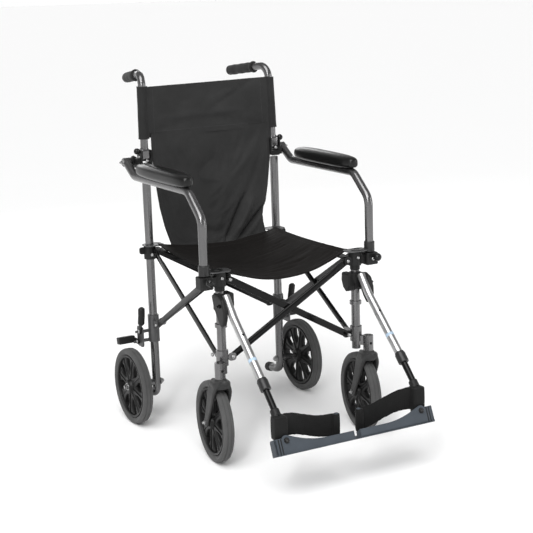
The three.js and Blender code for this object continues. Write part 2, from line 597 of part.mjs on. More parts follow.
// Webbing band behind the heels, from the holder down to the short post on the plate.
const STRAP = { height: 48, z: 169, drop: 29 };
function heelStrap() {
  const outer = V(FOOT_X - 17.5, -462, 0), inner = V(STRAP_POST.x + 8, STRAP_POST.y, 0);
  const line = new THREE.QuadraticBezierCurve3(outer, V(105, -424, 0), inner);
  const outline = new THREE.Shape();
  const steps = 10, t = 1.5;
  const side = (s) => Array.from({ length: steps + 1 }, (_, i) => {
    const p = line.getPoint(i / steps), d = line.getTangent(i / steps);
    return new THREE.Vector2(p.x - d.y * t * s, p.y + d.x * t * s);
  });
  outline.setFromPoints([...side(1), ...side(-1).reverse()]);
  const g = plate(outline, STRAP.height).translate(0, 0, STRAP.z);
  const p = g.attributes.position;
  for (let i = 0; i < p.count; i++) {
    const fall = THREE.MathUtils.smoothstep(FOOT_X - p.getX(i), 20, 130);
    p.setZ(i, p.getZ(i) - STRAP.drop * fall);
  }
  return g;
}
addPair('heel_strap', heelStrap, NYLON);

// ---------- seat and back ----------
// A closed sheet over a grid: at(u, v) gives its middle surface, u and v from 0 to 1.
function sheet(at, nu, nv, thickness, way) {
  const p = [], index = [];
  for (const s of [0.5, -0.5])
    for (let j = 0; j <= nv; j++)
      for (let i = 0; i <= nu; i++) {
        const q = at(i / nu, j / nv).addScaledVector(way, s * thickness);
        p.push(q.x, q.y, q.z);
      }
  const n = (nu + 1) * (nv + 1), id = (i, j, k) => k * n + j * (nu + 1) + i;
  const quad = (a, b, c, d) => index.push(a, b, c, a, c, d);
  for (let j = 0; j < nv; j++)
    for (let i = 0; i < nu; i++) {
      quad(id(i, j, 0), id(i + 1, j, 0), id(i + 1, j + 1, 0), id(i, j + 1, 0));
      quad(id(i, j, 1), id(i, j + 1, 1), id(i + 1, j + 1, 1), id(i + 1, j, 1));
    }
  for (let i = 0; i < nu; i++) {
    quad(id(i, 0, 0), id(i, 0, 1), id(i + 1, 0, 1), id(i + 1, 0, 0));
    quad(id(i, nv, 0), id(i + 1, nv, 0), id(i + 1, nv, 1), id(i, nv, 1));
  }
  for (let j = 0; j < nv; j++) {
    quad(id(0, j, 0), id(0, j + 1, 0), id(0, j + 1, 1), id(0, j, 1));
    quad(id(nu, j, 0), id(nu, j, 1), id(nu, j + 1, 1), id(nu, j + 1, 0));
  }
  const g = new THREE.BufferGeometry();
  g.setAttribute('position', new THREE.Float32BufferAttribute(p, 3));
  g.setIndex(index);
  return g;
}
const arch = (u) => 4 * u * (1 - u);

const SEAT = { halfWidth: 178, front: -188, rear: 178, z: 480, sagFront: 43, sagMiddle: 26, sagSide: 20 };
add('seat_sling', sheet((u, v) => {
  const across = SEAT.sagFront * (1 - v) ** 2 + SEAT.sagMiddle * (1 - (1 - v) ** 2);
  const sag = arch(u) * across + SEAT.sagSide * arch(v) * (1 - 0.5 * arch(u));
  const waist = 1 - 0.06 * arch(v);
  return V((2 * u - 1) * SEAT.halfWidth * waist, SEAT.front + v * (SEAT.rear - SEAT.front), SEAT.z - sag);
}, 10, 8, 4, V(0, 0, 1)), NYLON);

const [BACK_FOOT, BACK_TOP] = BACK_LINE;
const backX = (z) => THREE.MathUtils.mapLinear(z, BACK_FOOT[2], BACK_TOP[2], BACK_FOOT[0], BACK_TOP[0]);
const backY = (z) => THREE.MathUtils.mapLinear(z, BACK_FOOT[2], BACK_TOP[2], BACK_FOOT[1], BACK_TOP[1]);
const UPPER_BACK = [755, 886];
function backUpper() {
  const [z0, z1] = UPPER_BACK;
  const parts = [], bores = [];
  for (const s of [-1, 1]) {
    const at = (z) => [s * backX(z), backY(z), z];
    parts.push(tube([at(z0), at(z1)], POST_R + 2.2, 0));
    bores.push(tube([at(z0 - 20), at(z1 + 20)], POST_R - 1 + GAP, 0));
  }
  const panel = sheet((u, v) => {
    const z = z0 + v * (z1 - z0);
    return V((2 * u - 1) * (backX(z) - 9), backY(z) - 9 + 24 * arch(u), z);
  }, 12, 2, 3.5, V(0, -1, 0));
  return cut(union(...parts, panel), ...bores);
}
add('back_upper', backUpper(), NYLON);

const LOWER_BACK = [462, 752];
add('back_lower', sheet((u, v) => {
  const [z0, z1] = LOWER_BACK;
  const z = z0 + v * (z1 - z0);
  const half = 122 + 50 * Math.sin((v * Math.PI) / 2) ** 0.8;
  const y = THREE.MathUtils.lerp(180, 196, Math.min(1, v * 1.4));
  return V((2 * u - 1) * half, y + 22 * arch(u) * Math.min(1, v * 2), z);
}, 8, 6, 3.5, V(0, -1, 0)), NYLON);

export default chair;
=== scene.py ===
"""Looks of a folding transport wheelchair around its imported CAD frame. Metres, +Z up, the chair faces -Y."""
import math

import bmesh
import bpy
import numpy as np
from mathutils import Matrix, Quaternion, Vector
from mathutils import noise as mathutils_noise


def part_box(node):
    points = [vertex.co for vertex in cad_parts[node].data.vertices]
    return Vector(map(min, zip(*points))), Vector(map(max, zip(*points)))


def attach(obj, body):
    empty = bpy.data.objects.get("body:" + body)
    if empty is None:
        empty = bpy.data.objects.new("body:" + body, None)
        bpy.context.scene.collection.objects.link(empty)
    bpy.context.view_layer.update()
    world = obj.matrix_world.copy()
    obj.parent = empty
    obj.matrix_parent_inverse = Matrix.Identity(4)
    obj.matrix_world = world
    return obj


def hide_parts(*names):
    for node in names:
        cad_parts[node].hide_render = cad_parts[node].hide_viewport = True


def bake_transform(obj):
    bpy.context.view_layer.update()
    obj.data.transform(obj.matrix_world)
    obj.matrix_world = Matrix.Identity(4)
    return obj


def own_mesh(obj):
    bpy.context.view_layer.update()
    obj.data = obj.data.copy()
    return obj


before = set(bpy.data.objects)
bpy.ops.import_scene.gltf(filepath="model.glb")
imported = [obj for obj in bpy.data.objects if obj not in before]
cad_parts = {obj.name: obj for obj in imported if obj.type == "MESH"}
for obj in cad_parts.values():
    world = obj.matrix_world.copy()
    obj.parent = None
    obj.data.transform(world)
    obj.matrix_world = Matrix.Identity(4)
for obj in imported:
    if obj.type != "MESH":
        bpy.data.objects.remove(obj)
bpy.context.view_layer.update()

SIDES = (("right", -1), ("left", 1))
MM = 0.001
X, Y, Z = (Vector(row) for row in Matrix.Identity(3))


# ---- places read from the frame
def middle(node):
    low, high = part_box(node)
    return (low + high) / 2


FRONT_POST = middle("hanger_bush_left")
REAR_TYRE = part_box("rear_tyre_left")
WHEEL_R = (REAR_TYRE[1].z - REAR_TYRE[0].z) / 2
Y0 = (FRONT_POST.y + middle("rear_tyre_left").y) / 2    # y of the brace crossings


def at(x, y, z):
    """A point in millimetres, y counted from the middle of the four posts."""
    return Vector((x * MM, y * MM + Y0, z * MM))


# ---- material nodes
class Nodes:
    """Shorthand for building one material's node tree."""

    def __init__(self, name, **sockets):
        self.material = bpy.data.materials.new(name)
        self.material.use_nodes = True
        self.tree = self.material.node_tree
        self.shader = self.tree.nodes["Principled BSDF"]
        for key, value in sockets.items():
            self.shader.inputs[key.replace("_", " ")].default_value = value

    def add(self, kind, values=None, **settings):
        node = self.tree.nodes.new("ShaderNode" + kind)
        for key, value in settings.items():
            setattr(node, key, value)
        for key, value in (values or {}).items():
            if isinstance(value, bpy.types.NodeSocket):
                self.tree.links.new(value, node.inputs[key])
            else:
                node.inputs[key].default_value = value
        return node

    def link(self, source, socket):
        self.tree.links.new(source, self.shader.inputs[socket])

    def coords(self, kind="Object", scale=(1, 1, 1)):
        source = self.add("TexCoord").outputs[kind]
        return self.add("Mapping", {"Vector": source, "Scale": scale}).outputs["Vector"]

    def noise(self, scale, detail=3.0, rough=0.5, vector=None):
        values = {"Vector": vector or self.coords(), "Scale": scale, "Detail": detail, "Roughness": rough}
        return self.add("TexNoise", values).outputs["Fac"]

    def ramp(self, fac, low, high, start=0.3, end=0.7):
        node = self.add("ValToRGB", {"Fac": fac})
        node.color_ramp.elements[0].position = start
        node.color_ramp.elements[0].color = low
        node.color_ramp.elements[1].position = end
        node.color_ramp.elements[1].color = high
        return node.outputs["Color"]

    def span(self, fac, low, high):
        return self.add("MapRange", {"Value": fac, "To Min": low, "To Max": high}).outputs["Result"]

    def math(self, operation, a, b):
        return self.add("Math", {0: a, 1: b}, operation=operation).outputs["Value"]

    def bump(self, height, strength, distance):
        values = {"Height": height, "Strength": strength, "Distance": distance}
        self.link(self.add("Bump", values).outputs["Normal"], "Normal")


def grey(value, tint=(1, 1, 1)):
    return (value * tint[0], value * tint[1], value * tint[2], 1.0)


def surface(name, value, tint, spots, shades, unevenness, rough, **sockets):
    """Two shades of one colour in soft spots, with an uneven roughness. spots and unevenness are noises."""
    n = Nodes(name, **sockets)
    n.link(n.ramp(n.noise(*spots), *(grey(value * shade, tint) for shade in shades)), "Base Color")
    n.link(n.span(n.noise(*unevenness), *rough), "Roughness")
    return n


def coated_metal(name, value, tint=(1, 1, 1), metallic=0.6, rough=(0.3, 0.42), level=0.4):
    """Satin coated tube: a soft orange peel, a little dirt in the roughness."""
    n = surface(name, value, tint, (9.0, 4.0), (0.9, 1.08), (60.0, 3.0), rough,
                Metallic=metallic, Specular_IOR_Level=level)
    n.bump(n.noise(900.0, 2.0), 0.03, 0.0002)
    return n.material


def moulded(name, value, tint=(1, 1, 1), rough=(0.42, 0.58), depth=0.25):
    """Injection-moulded plastic with a fine spark-eroded grain."""
    n = surface(name, value, tint, (14.0, 4.0), (0.86, 1.12), (35.0, 3.0), rough, Specular_IOR_Level=0.26)
    n.bump(n.noise(700.0, 3.0, 0.6), depth, 0.0003)
    return n.material


def rubber(name, value):
    n = surface(name, value, (1, 1, 1), (20.0, 5.0), (0.82, 1.15), (50.0, 4.0), (0.62, 0.82),
                Specular_IOR_Level=0.22, Sheen_Weight=0.05, Sheen_Roughness=0.6)
    n.bump(n.noise(500.0, 4.0, 0.65), 0.3, 0.0004)
    return n.material


def woven(name, value, tint=(1, 1, 1), threads=900.0, sheen=0.05, level=0.16):
    """Woven nylon: two crossed sets of threads from the cloth's own UV, in metres."""
    n = Nodes(name, Specular_IOR_Level=level, Sheen_Weight=sheen, Sheen_Roughness=0.45)
    values = {"Vector": n.coords("UV"), "Scale": threads / 6.283, "Distortion": 0.6, "Detail": 1.0}
    values["Detail Scale"] = 2.0
    waves = [n.add("TexWave", values, wave_type="BANDS", bands_direction=way).outputs["Fac"] for way in "XY"]
    weave = n.math("MAXIMUM", *waves)
    broad = n.noise(11.0, 5.0, 0.6)
    shade = n.math("ADD", n.math("MULTIPLY", broad, 0.75), n.math("MULTIPLY", weave, 0.25))
    n.link(n.ramp(shade, grey(value * 0.7, tint), grey(value * 1.3, tint), 0.25, 0.75), "Base Color")
    n.link(n.span(n.noise(26.0, 3.0), 0.62, 0.8), "Roughness")
    crumple = n.noise(38.0, 4.0, 0.55)
    n.bump(n.math("ADD", n.math("MULTIPLY", weave, 0.12), n.math("MULTIPLY", crumple, 0.9)), 0.35, 0.0016)
    return n.material


def skin(name, value):
    """Glossy integral-skin foam with a fine leather grain."""
    n = surface(name, value, (1, 1, 1), (12.0, 4.0), (0.8, 1.25), (14.0, 2.0), (0.27, 0.32),
                Specular_IOR_Level=0.3, Coat_Weight=0.06, Coat_Roughness=0.12)
    cells = n.add("TexVoronoi", {"Vector": n.coords(), "Scale": 520.0}, feature="DISTANCE_TO_EDGE")
    n.bump(n.math("MINIMUM", cells.outputs["Distance"], 0.2), 0.06, 0.0002)
    return n.material


def polished(name):
    """Drawn aluminium, its streaks along the tube."""
    n = Nodes(name, Metallic=1.0)
    n.link(n.ramp(n.noise(26.0, 4.0), grey(0.42), grey(0.56)), "Base Color")
    n.link(n.span(n.noise(40.0, 4.0, 0.6, n.coords(scale=(1, 1, 0.12))), 0.3, 0.4), "Roughness")
    n.bump(n.noise(1200.0, 2.0), 0.03, 0.0002)
    return n.material


MATERIALS = {
    "silver": coated_metal("satin_silver", 0.165, (1.0, 0.99, 1.0), metallic=0.9, rough=(0.18, 0.28)),
    "collar": coated_metal("cast_collar", 0.09, (1.0, 1.0, 1.02), metallic=0.6, rough=(0.34, 0.48)),
    "polished": polished("polished_tube"),
    "black_steel": coated_metal("black_enamel", 0.004, metallic=0.0, rough=(0.09, 0.14), level=0.2),
    "dark_steel": coated_metal("dark_grey_enamel", 0.022, (1.0, 1.0, 1.02), metallic=0.2, rough=(0.28, 0.4)),
    "zinc": coated_metal("zinc_hardware", 0.4, metallic=1.0, rough=(0.24, 0.38)),
    "black_plastic": moulded("black_moulding", 0.01),
    "hub_plastic": moulded("hub_moulding", 0.006, rough=(0.35, 0.5)),
    "fork_plastic": moulded("fork_moulding", 0.03, rough=(0.4, 0.52)),
    "band": moulded("plain_band", 0.5, (0.78, 1.0, 1.24), rough=(0.3, 0.4), depth=0.02),
    "slate": moulded("slate_moulding", 0.058, (0.84, 1.0, 1.2), rough=(0.45, 0.6)),
    "grip": rubber("grip_rubber", 0.02),
    "tyre": rubber("tyre_rubber", 0.068),
    "nylon": woven("seat_nylon", 0.0065, (1.12, 0.98, 0.9), sheen=0.015, level=0.1),
    "back_nylon": woven("back_nylon", 0.021, sheen=0.06),
    "webbing": woven("strap_webbing", 0.01, threads=420.0, sheen=0.05),
    "pad": skin("armrest_skin", 0.005),
    "thread": rubber("seam_thread", 0.035),
    "gloss_plastic": moulded("gloss_moulding", 0.01, rough=(0.12, 0.2), depth=0.02),
}


# ---- mesh helpers
def placed(name, data):
    """A new object in the scene."""
    obj = bpy.data.objects.new(name, data)
    bpy.context.scene.collection.objects.link(obj)
    return obj


def smooth_by_angle(mesh, degrees):
    """Smooth shading with edges sharper than this left sharp."""
    mesh.shade_smooth()
    mesh.set_sharp_from_angle(angle=math.radians(degrees))


def piece(name, mesh, material, body=None, stands_for=(), angle=35.0):
    """A finished mesh as a named piece that rides on a body."""
    mesh.name = name
    mesh.materials.append(MATERIALS[material])
    if angle is not None:
        smooth_by_angle(mesh, angle)
    obj = placed(name, mesh)
    if body:
        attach(obj, body)
    if stands_for:
        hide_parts(*stands_for)
    return obj


def mesh_from(verts, faces, uvs=None):
    mesh = bpy.data.meshes.new("mesh")
    mesh.from_pydata([tuple(v) for v in verts], [], faces)
    if uvs is not None:
        layer = mesh.uv_layers.new(name="UVMap")
        for loop in mesh.loops:
            layer.data[loop.index].uv = uvs[loop.vertex_index]
    mesh.update()
    return mesh


def circle(count):
    """Cosine and sine at evenly spaced angles."""
    angles = (2 * math.pi * k / count for k in range(count))
    return [(math.cos(a), math.sin(a)) for a in angles]


def lathe(profile, centre, axis, segments=64, closed=False):
    """Turns (radius, height) points, millimetres, about an axis. An open profile ends at radius 0."""
    axis = Vector(axis).normalized()
    side = axis.orthogonal().normalized()
    other = axis.cross(side)
    verts, rows = [], []
    for radius, height in profile:
        base = centre + axis * (height * MM)
        if radius < 0.001:
            rows.append([len(verts)] * segments)
            verts.append(base)
            continue
        rows.append(list(range(len(verts), len(verts) + segments)))
        verts += [base + (side * c + other * s) * (radius * MM) for c, s in circle(segments)]
    faces = []
    if closed:
        rows.append(rows[0])
    for low, high in zip(rows, rows[1:]):
        for k in range(segments):
            ring = [low[k], low[(k + 1) % segments], high[(k + 1) % segments], high[k]]
            face = [v for i, v in enumerate(ring) if v != ring[i - 1]]
            if len(face) > 2:
                faces.append(face)
    return mesh_from(verts, faces)


def joined(meshes):
    """One mesh from several."""
    bm = bmesh.new()
    for mesh in meshes:
        bm.from_mesh(mesh)
    bmesh.ops.recalc_face_normals(bm, faces=bm.faces)
    mesh = bpy.data.meshes.new("mesh")
    bm.to_mesh(mesh)
    bm.free()
    return mesh


def tangents(line):
    ends = zip([line[0]] + line[:-1], line[1:] + [line[-1]])
    return [(after - before).normalized() for before, after in ends]


def loft(rings):
    """A closed form through rings of points that all have the same count, flat at both ends."""
    count = len(rings[0])
    verts = [v for ring in rings for v in ring]
    faces = [list(range(count))[::-1], list(range((len(rings) - 1) * count, len(rings) * count))]
    for r in range(len(rings) - 1):
        for k in range(count):
            a, b = r * count + k, r * count + (k + 1) % count
            faces.append([a, b, b + count, a + count])
    return mesh_from(verts, faces)


def sweep(line, radius, segments=32, chamfer=0.8, flat=1.0):
    """A round bar along a line, its end edges eased. flat below 1 presses its section in one direction."""
    radius, chamfer = radius * MM, chamfer * MM
    ways = tangents(line)
    side = Z.cross(ways[0])
    if side.length < 1e-3:
        side = ways[0].orthogonal()
    side.normalize()
    rings = []
    stations = [(line[0], ways[0], radius - chamfer), (line[0] + ways[0] * chamfer, ways[0], radius)]
    stations += [(p, w, radius) for p, w in zip(line[1:-1], ways[1:-1])]
    stations += [(line[-1] - ways[-1] * chamfer, ways[-1], radius), (line[-1], ways[-1], radius - chamfer)]
    for point, way, r in stations:
        side = (side - way * side.dot(way)).normalized()
        other = way.cross(side)
        rings.append([point + side * (r * c) + other * (r * flat * s) for c, s in circle(segments)])
    return loft(rings)


def rounded(width, height, radius, steps=6):
    """The outline of a rounded rectangle about the origin, in millimetres."""
    out = []
    for cx, cy, start in ((1, -1, -90), (1, 1, 0), (-1, 1, 90), (-1, -1, 180)):
        for k in range(steps + 1):
            a = math.radians(start + 90 * k / steps)
            out.append((cx * (width / 2 - radius) + radius * math.cos(a),
                        cy * (height / 2 - radius) + radius * math.sin(a)))
    return out


def slab(outline, thickness, bevel, origin, right, up):
    """An outline (millimetres, along `right` and `up`) given a thickness, its edges rounded over."""
    out = right.cross(up)
    corners = [Vector(p) for p in outline]
    before, after = corners[-1:] + corners[:-1], corners[1:] + corners[:1]
    if sum(a.cross(b) for a, b in zip(corners, after)) < 0:
        return slab(outline[::-1], thickness, bevel, origin, right, up)
    inward = []
    for a, b, c in zip(before, corners, after):
        n1, n2 = (b - a).orthogonal().normalized(), (c - b).orthogonal().normalized()
        n = n1 + n2
        inward.append(n / max(n.dot(n1), 0.3) if n.length > 1e-6 else n1)
    quarter = [(math.cos(math.radians(a)), math.sin(math.radians(a))) for a in (0, 30, 60, 90)]
    levels = [(-thickness / 2 + bevel * (1 - c), bevel * (1 - s)) for c, s in quarter]
    levels += [(-z, inset) for z, inset in reversed(levels)]
    rings = []
    for z, inset in levels:
        eased = [b + n * inset for b, n in zip(corners, inward)]
        rings.append([origin + (right * q.x + up * q.y + out * z) * MM for q in eased])
    return loft(rings)


def fused(meshes, voxel=1.6, smooth=3):
    """Several closed meshes melted into one cast-looking skin."""
    obj = placed("work", joined(meshes))
    remesh = obj.modifiers.new("Remesh", "REMESH")
    remesh.mode = "VOXEL"
    remesh.voxel_size = voxel * MM
    ease = obj.modifiers.new("Smooth", "SMOOTH")
    ease.factor = 0.5
    ease.iterations = smooth
    thin = obj.modifiers.new("Decimate", "DECIMATE")
    thin.decimate_type = "DISSOLVE"
    thin.angle_limit = math.radians(1.5)
    graph = bpy.context.evaluated_depsgraph_get()
    result = bpy.data.meshes.new_from_object(obj.evaluated_get(graph))
    bpy.data.objects.remove(obj)
    return result


def pair(name, build, material, body, stands_for=None, turned=False, **settings):
    """The same piece on both sides. build() draws the left one. turned pieces swing with their caster."""
    made = []
    for side, sign in SIDES:
        mesh = build()
        if side == "right":
            mesh.transform(Matrix.Diagonal((-1, 1, 1, 1)))
            mesh.flip_normals()
        if turned:
            swing(mesh, side, sign)
        rides = f"{body}_{side}" if body else None
        replaced = (f"{stands_for}_{side}",) if stands_for else ()
        made.append(piece(f"{name}_{side}", mesh, material, rides, replaced, **settings))
    return made


# ---- the frame's lines, left side, millimetres
TUBE_R = 11
POST_Y = 200                    # the posts stand this far before and behind the middle
AXLE_Z = 101
LOWER_Z, UPPER_Z = 265, 455
FRAME_X = FRONT_POST.x / MM
HANDLE_LINE = [(189, 204, 722), (184.5, 210, 918), (156, 370, 898)]
ARM_X = 231
ARM_LINE = [(231, 222, 690), (231, 176, 662), (231, -136, 664), (231, -204, 606), (231, -204, 472)]
HANGER = [(189, -236, 418), (189, -408, 245)]
HANGER_BEND = [(189, -227, 424), (189, -266, 376), (189, -408, 245)]
PLATE_PITCH = math.radians(23.5)


def line(points, *radii):
    """A line through points, its inner corners rounded to these radii. All in millimetres."""
    points = [at(*p) for p in points]
    out = [points[0]]
    for a, corner, b, radius in zip(points, points[1:], points[2:], radii):
        before, after = (a - corner).normalized(), (b - corner).normalized()
        half = before.angle(after) / 2
        centre = corner + (before + after).normalized() * (radius * MM / math.sin(half))
        start, end = (corner + way * (radius * MM / math.tan(half)) - centre for way in (before, after))
        axis = start.cross(end).normalized()
        turn = math.pi - 2 * half
        steps = max(3, math.ceil(turn / math.radians(6)))
        out += [centre + Quaternion(axis, turn * k / steps) @ start for k in range(steps + 1)]
    return out + [points[-1]]


def swing(mesh, side, sign):
    """Turns a caster piece about its upright stem to where its wheel stands in the frame."""
    stem = at(sign * STEM[0], STEM[1], 0)
    to_wheel = middle(f"caster_tyre_{side}") - stem
    turn = Matrix.Rotation(math.atan2(-to_wheel.x, to_wheel.y), 4, "Z")
    mesh.transform(Matrix.Translation(stem) @ turn @ Matrix.Translation(-stem))


def along(points, distance):
    """The point this many millimetres from the first of two points, towards the second."""
    a, b = at(*points[0]), at(*points[1])
    return a + (b - a).normalized() * distance * MM


def up_hanger(distance):
    """The point this far up the hanger tube's straight part from its lower end."""
    return along([HANGER_BEND[2], HANGER_BEND[1]], distance)


# ---- tubes
def rear_post():
    foot = [(FRAME_X, POST_Y, 672), (FRAME_X, POST_Y, 70), (FRAME_X, 268, 60)]
    return joined([
        sweep(line(foot, 24), TUBE_R, 40),
        sweep(line([(FRAME_X - 18, POST_Y, AXLE_Z), (283, POST_Y, AXLE_Z)]), 6, 24),
        sweep(line([(FRAME_X + 8, POST_Y, AXLE_Z), (FRAME_X + 38, POST_Y, AXLE_Z)]), 9),
    ])


def back_tube():
    eye = slab(rounded(22, 34, 9), 20, 1.5, at(190, 203, 712), Y, Z)
    return joined([sweep(line(HANDLE_LINE, 30), TUBE_R - 1, 40), eye])


def arm_tube():
    return joined([
        sweep(line(ARM_LINE, 30, 40, 40), TUBE_R - 0.5, 40),
        sweep(line([(ARM_X - 11, 229, 693), (ARM_X + 9, 229, 693)]), 11.8, 40, 1.6),
    ])


def hanger_collar():
    """Dark clamping collar where the inner tube slides out."""
    return joined([
        sweep([along(HANGER, 226), along(HANGER, 252)], 13, 40, 1.5),
        sweep([along(HANGER, 222), along(HANGER, 227)], 11.6, 40, 1),
    ])


pair("rear_post_tube", rear_post, "silver", "rear_frame", "rear_post")
pair("push_handle_tube", back_tube, "silver", "back", "back_tube")
pair("armrest_tube", arm_tube, "silver", "armrest", "arm_tube")
pair("hanger_bar", lambda: sweep(line(HANGER_BEND, 110), 10, 40, 3), "polished", "hanger", "hanger_tube")
pair("hanger_collar", hanger_collar, "dark_steel", "hanger")
pair("hanger_band", lambda: sweep([up_hanger(77), up_hanger(69)], 10.4, 40, 0.3), "band", "hanger")


# ---- push grips
def push_grip():
    """Rubber sleeve with a guard ring and a waved grip."""
    start, end = at(*HANDLE_LINE[1]), at(*HANDLE_LINE[2])
    axis = (end - start).normalized()
    length = 112
    profile = [(0, -1), (14.2, -1), (15.2, -0.2), (15.7, 1.5), (15.2, 3.6), (14, 5), (13.2, 8)]
    for k in range(1, 61):
        t = k / 60
        along_grip = 8 + t * (length - 20)
        wave = 0.35 * math.cos(t * 3 * 2 * math.pi)
        groove = -0.4 if k % 4 == 0 else 0.0
        profile.append((13.6 - wave + groove, along_grip))
    profile += [(13.4, length - 8), (12.8, length - 3), (10.6, length - 0.6), (7, length), (0, length)]
    return lathe(profile, end - axis * (length - 8) * MM, axis)


pair("push_grip", push_grip, "grip", "back", "grip")


# ---- wheels
TYRE_WIDTH = 28


def tyre_mesh(centre):
    """Solid tyre: soft shoulders, a flat crown with two fine grooves."""
    half, rim = TYRE_WIDTH / 2, WHEEL_R / MM - 16.4
    outer = WHEEL_R / MM
    side = [(rim, half - 4.5), (rim + 3, half - 2.2), (rim + 7, half - 0.4), (rim + 9.5, half)]
    for k in range(1, 8):
        a = math.radians(90 * k / 8)
        side.append((outer - 7.5 + 7 * math.sin(a), half - 7 + 7 * math.cos(a)))
    side += [(outer - 0.3, half - 8), (outer - 0.3, half - 8.6)]
    side += [(outer - 1.3, half - 9), (outer - 1.3, half - 9.8), (outer, half - 10.2)]
    profile = side + [(r, -x) for r, x in reversed(side)]
    return lathe(profile, centre, X, 128, closed=True)


def hub_mesh(centre, wide):
    """Moulded wheel centre: rim bed, eight leaf-gapped spokes with ribs, barrel and bearing rings."""
    half, rim = TYRE_WIDTH / 2, WHEEL_R / MM - 16.6
    bed = [(rim, half - 4.8), (rim - 1.5, half - 2.6), (rim - 4, half - 2.2), (rim - 6.5, half - 3.4)]
    bed.append((rim - 7.5, half - 6))
    barrel = [(0, -half - 2), (9, -half - 2), (9.6, -half - 3.4), (14, -half - 3.4), (16.5, -half - 1.6)]
    barrel += [(18, -half + 3), (21, -half + 8)]
    parts = [
        lathe(bed + [(r, -x) for r, x in reversed(bed)], centre, X, 128, closed=True),
        lathe(barrel + [(r, -x) for r, x in reversed(barrel)], centre, X),
    ]
    for k in range(8):
        turn = Quaternion(X, math.radians(45 * k + 12))
        rings, rib = [], []
        for r in np.linspace(15, rim - 4, 15):
            t = (r - 15) / (rim - 19)
            # narrow in the middle, flared into the barrel and the rim
            spread = wide * (0.52 + 0.9 * (2 * t - 1) ** 2 * (0.8 if t < 0.5 else 1.15))
            thick = half * (0.62 - 0.2 * t)
            spoke = rounded(2 * thick, 2 * spread, min(thick, spread) * 0.6, 3)
            for shape, section in ((rings, spoke), (rib, rounded(2 * thick + 5, 2.4, 1, 3))):
                shape.append([centre + turn @ Vector((x, y, r)) * MM for x, y in section])
        parts += [loft(rings), loft(rib)]
    return joined(parts)


def axle_cap(centre, out, radius):
    """A domed lock nut on its washer at the end of an axle."""
    profile = [(0, -1), (radius + 2.5, -1), (radius + 2.5, 0.6), (radius, 0.8), (radius, 5)]
    profile += [(radius - 1.5, 6.4), (radius * 0.62, 6.6), (radius * 0.55, 8.8), (radius * 0.3, 10)]
    return lathe([*profile, (0, 10.2)], centre, out, 36)


def rivet(centre, out, radius):
    profile = [(0, -2), (radius, -2), (radius, 0.4), (radius * 0.93, 1.3), (radius * 0.7, 2.2)]
    return lathe([*profile, (radius * 0.35, 2.7), (0, 2.8)], centre, out, 24)


def studs(name, body, *spots, build=rivet, material="zinc", **settings):
    """Rivet heads, or other small turned pieces, at (point, way, radius) each."""
    pair(name, lambda: joined([build(at(*point), way, radius) for point, way, radius in spots]),
         material, body, **settings)


CASTER_TRAIL = 50
STEM = (210, -225)
WHEELS = (
    ("rear", at(257, POST_Y, AXLE_Z), 18, False),
    ("caster", at(STEM[0], STEM[1] + CASTER_TRAIL, AXLE_Z), 17, True),
)
for kind, centre, wide, turned in WHEELS:
    wheel = f"{kind}_wheel"
    pair(f"{kind}_tyre_ring", lambda: tyre_mesh(centre), "tyre", wheel, f"{kind}_tyre", turned)
    pair(f"{kind}_wheel_centre", lambda: hub_mesh(centre, wide), "hub_plastic", wheel, f"{kind}_hub", turned)
studs("rear_axle_nut", "rear_frame", ((274, POST_Y, AXLE_Z), X, 7), build=axle_cap)
studs("rear_axle_bolt", "rear_frame", ((178, POST_Y, AXLE_Z), -X, 7), build=axle_cap)


# ---- caster forks
def fork_leg(side):
    """One leg, from the crown out over the tyre and back to the axle."""
    rings = []
    for t in np.linspace(0, 1, 17):
        z = 219 - 118 * t
        y = -222 + (CASTER_TRAIL - 3) * (1 - math.cos(t * math.pi / 2)) ** 0.9
        x = 210 + side * (9 + 12.5 * math.sin(min(1, t * 3.2) * math.pi / 2))
        deep = 47 - 24 * t ** 0.9
        thick = 9.5 - 2.8 * t
        if t > 0.999:
            z, deep, thick = 91, 15, 5
        rings.append([at(x + u, y + v, z) for u, v in rounded(thick, deep, thick * 0.42, 4)])
    return loft(rings)


def caster_fork():
    x, y = STEM
    neck = [(0, 0), (13.6, 0), (14.6, 1.4), (14.6, 12), (17, 18), (19, 24), (0, 24)]
    boss = [(0, 0), (11.5, 0), (11.5, 7), (9.5, 9), (0, 9)]
    return fused([
        lathe([(r, -z) for r, z in neck], at(x, y, 222.5), Z, 48),
        slab(rounded(46, 46, 15), 15, 5, at(x, y + 4, 209), X, Y),
        fork_leg(-1),
        fork_leg(1),
        *(lathe(boss, at(x + s * 16.5, y + CASTER_TRAIL, AXLE_Z), X * s, 40) for s in (-1, 1)),
    ], 1.7, 4)


def caster_axle():
    ends = [at(x, STEM[1] + CASTER_TRAIL, AXLE_Z) for x in (187, 233)]
    return joined([sweep(ends, 4, 24), axle_cap(ends[1], X, 5.2), axle_cap(ends[0], -X, 5.2)])


pair("caster_fork_casting", caster_fork, "fork_plastic", "fork", "caster_fork", turned=True, angle=60)
pair("caster_axle", caster_axle, "zinc", "fork", turned=True)
pair("swivel_stem", lambda: sweep(line([(*STEM, 219), (*STEM, 258)]), 7.5), "zinc", "fork")


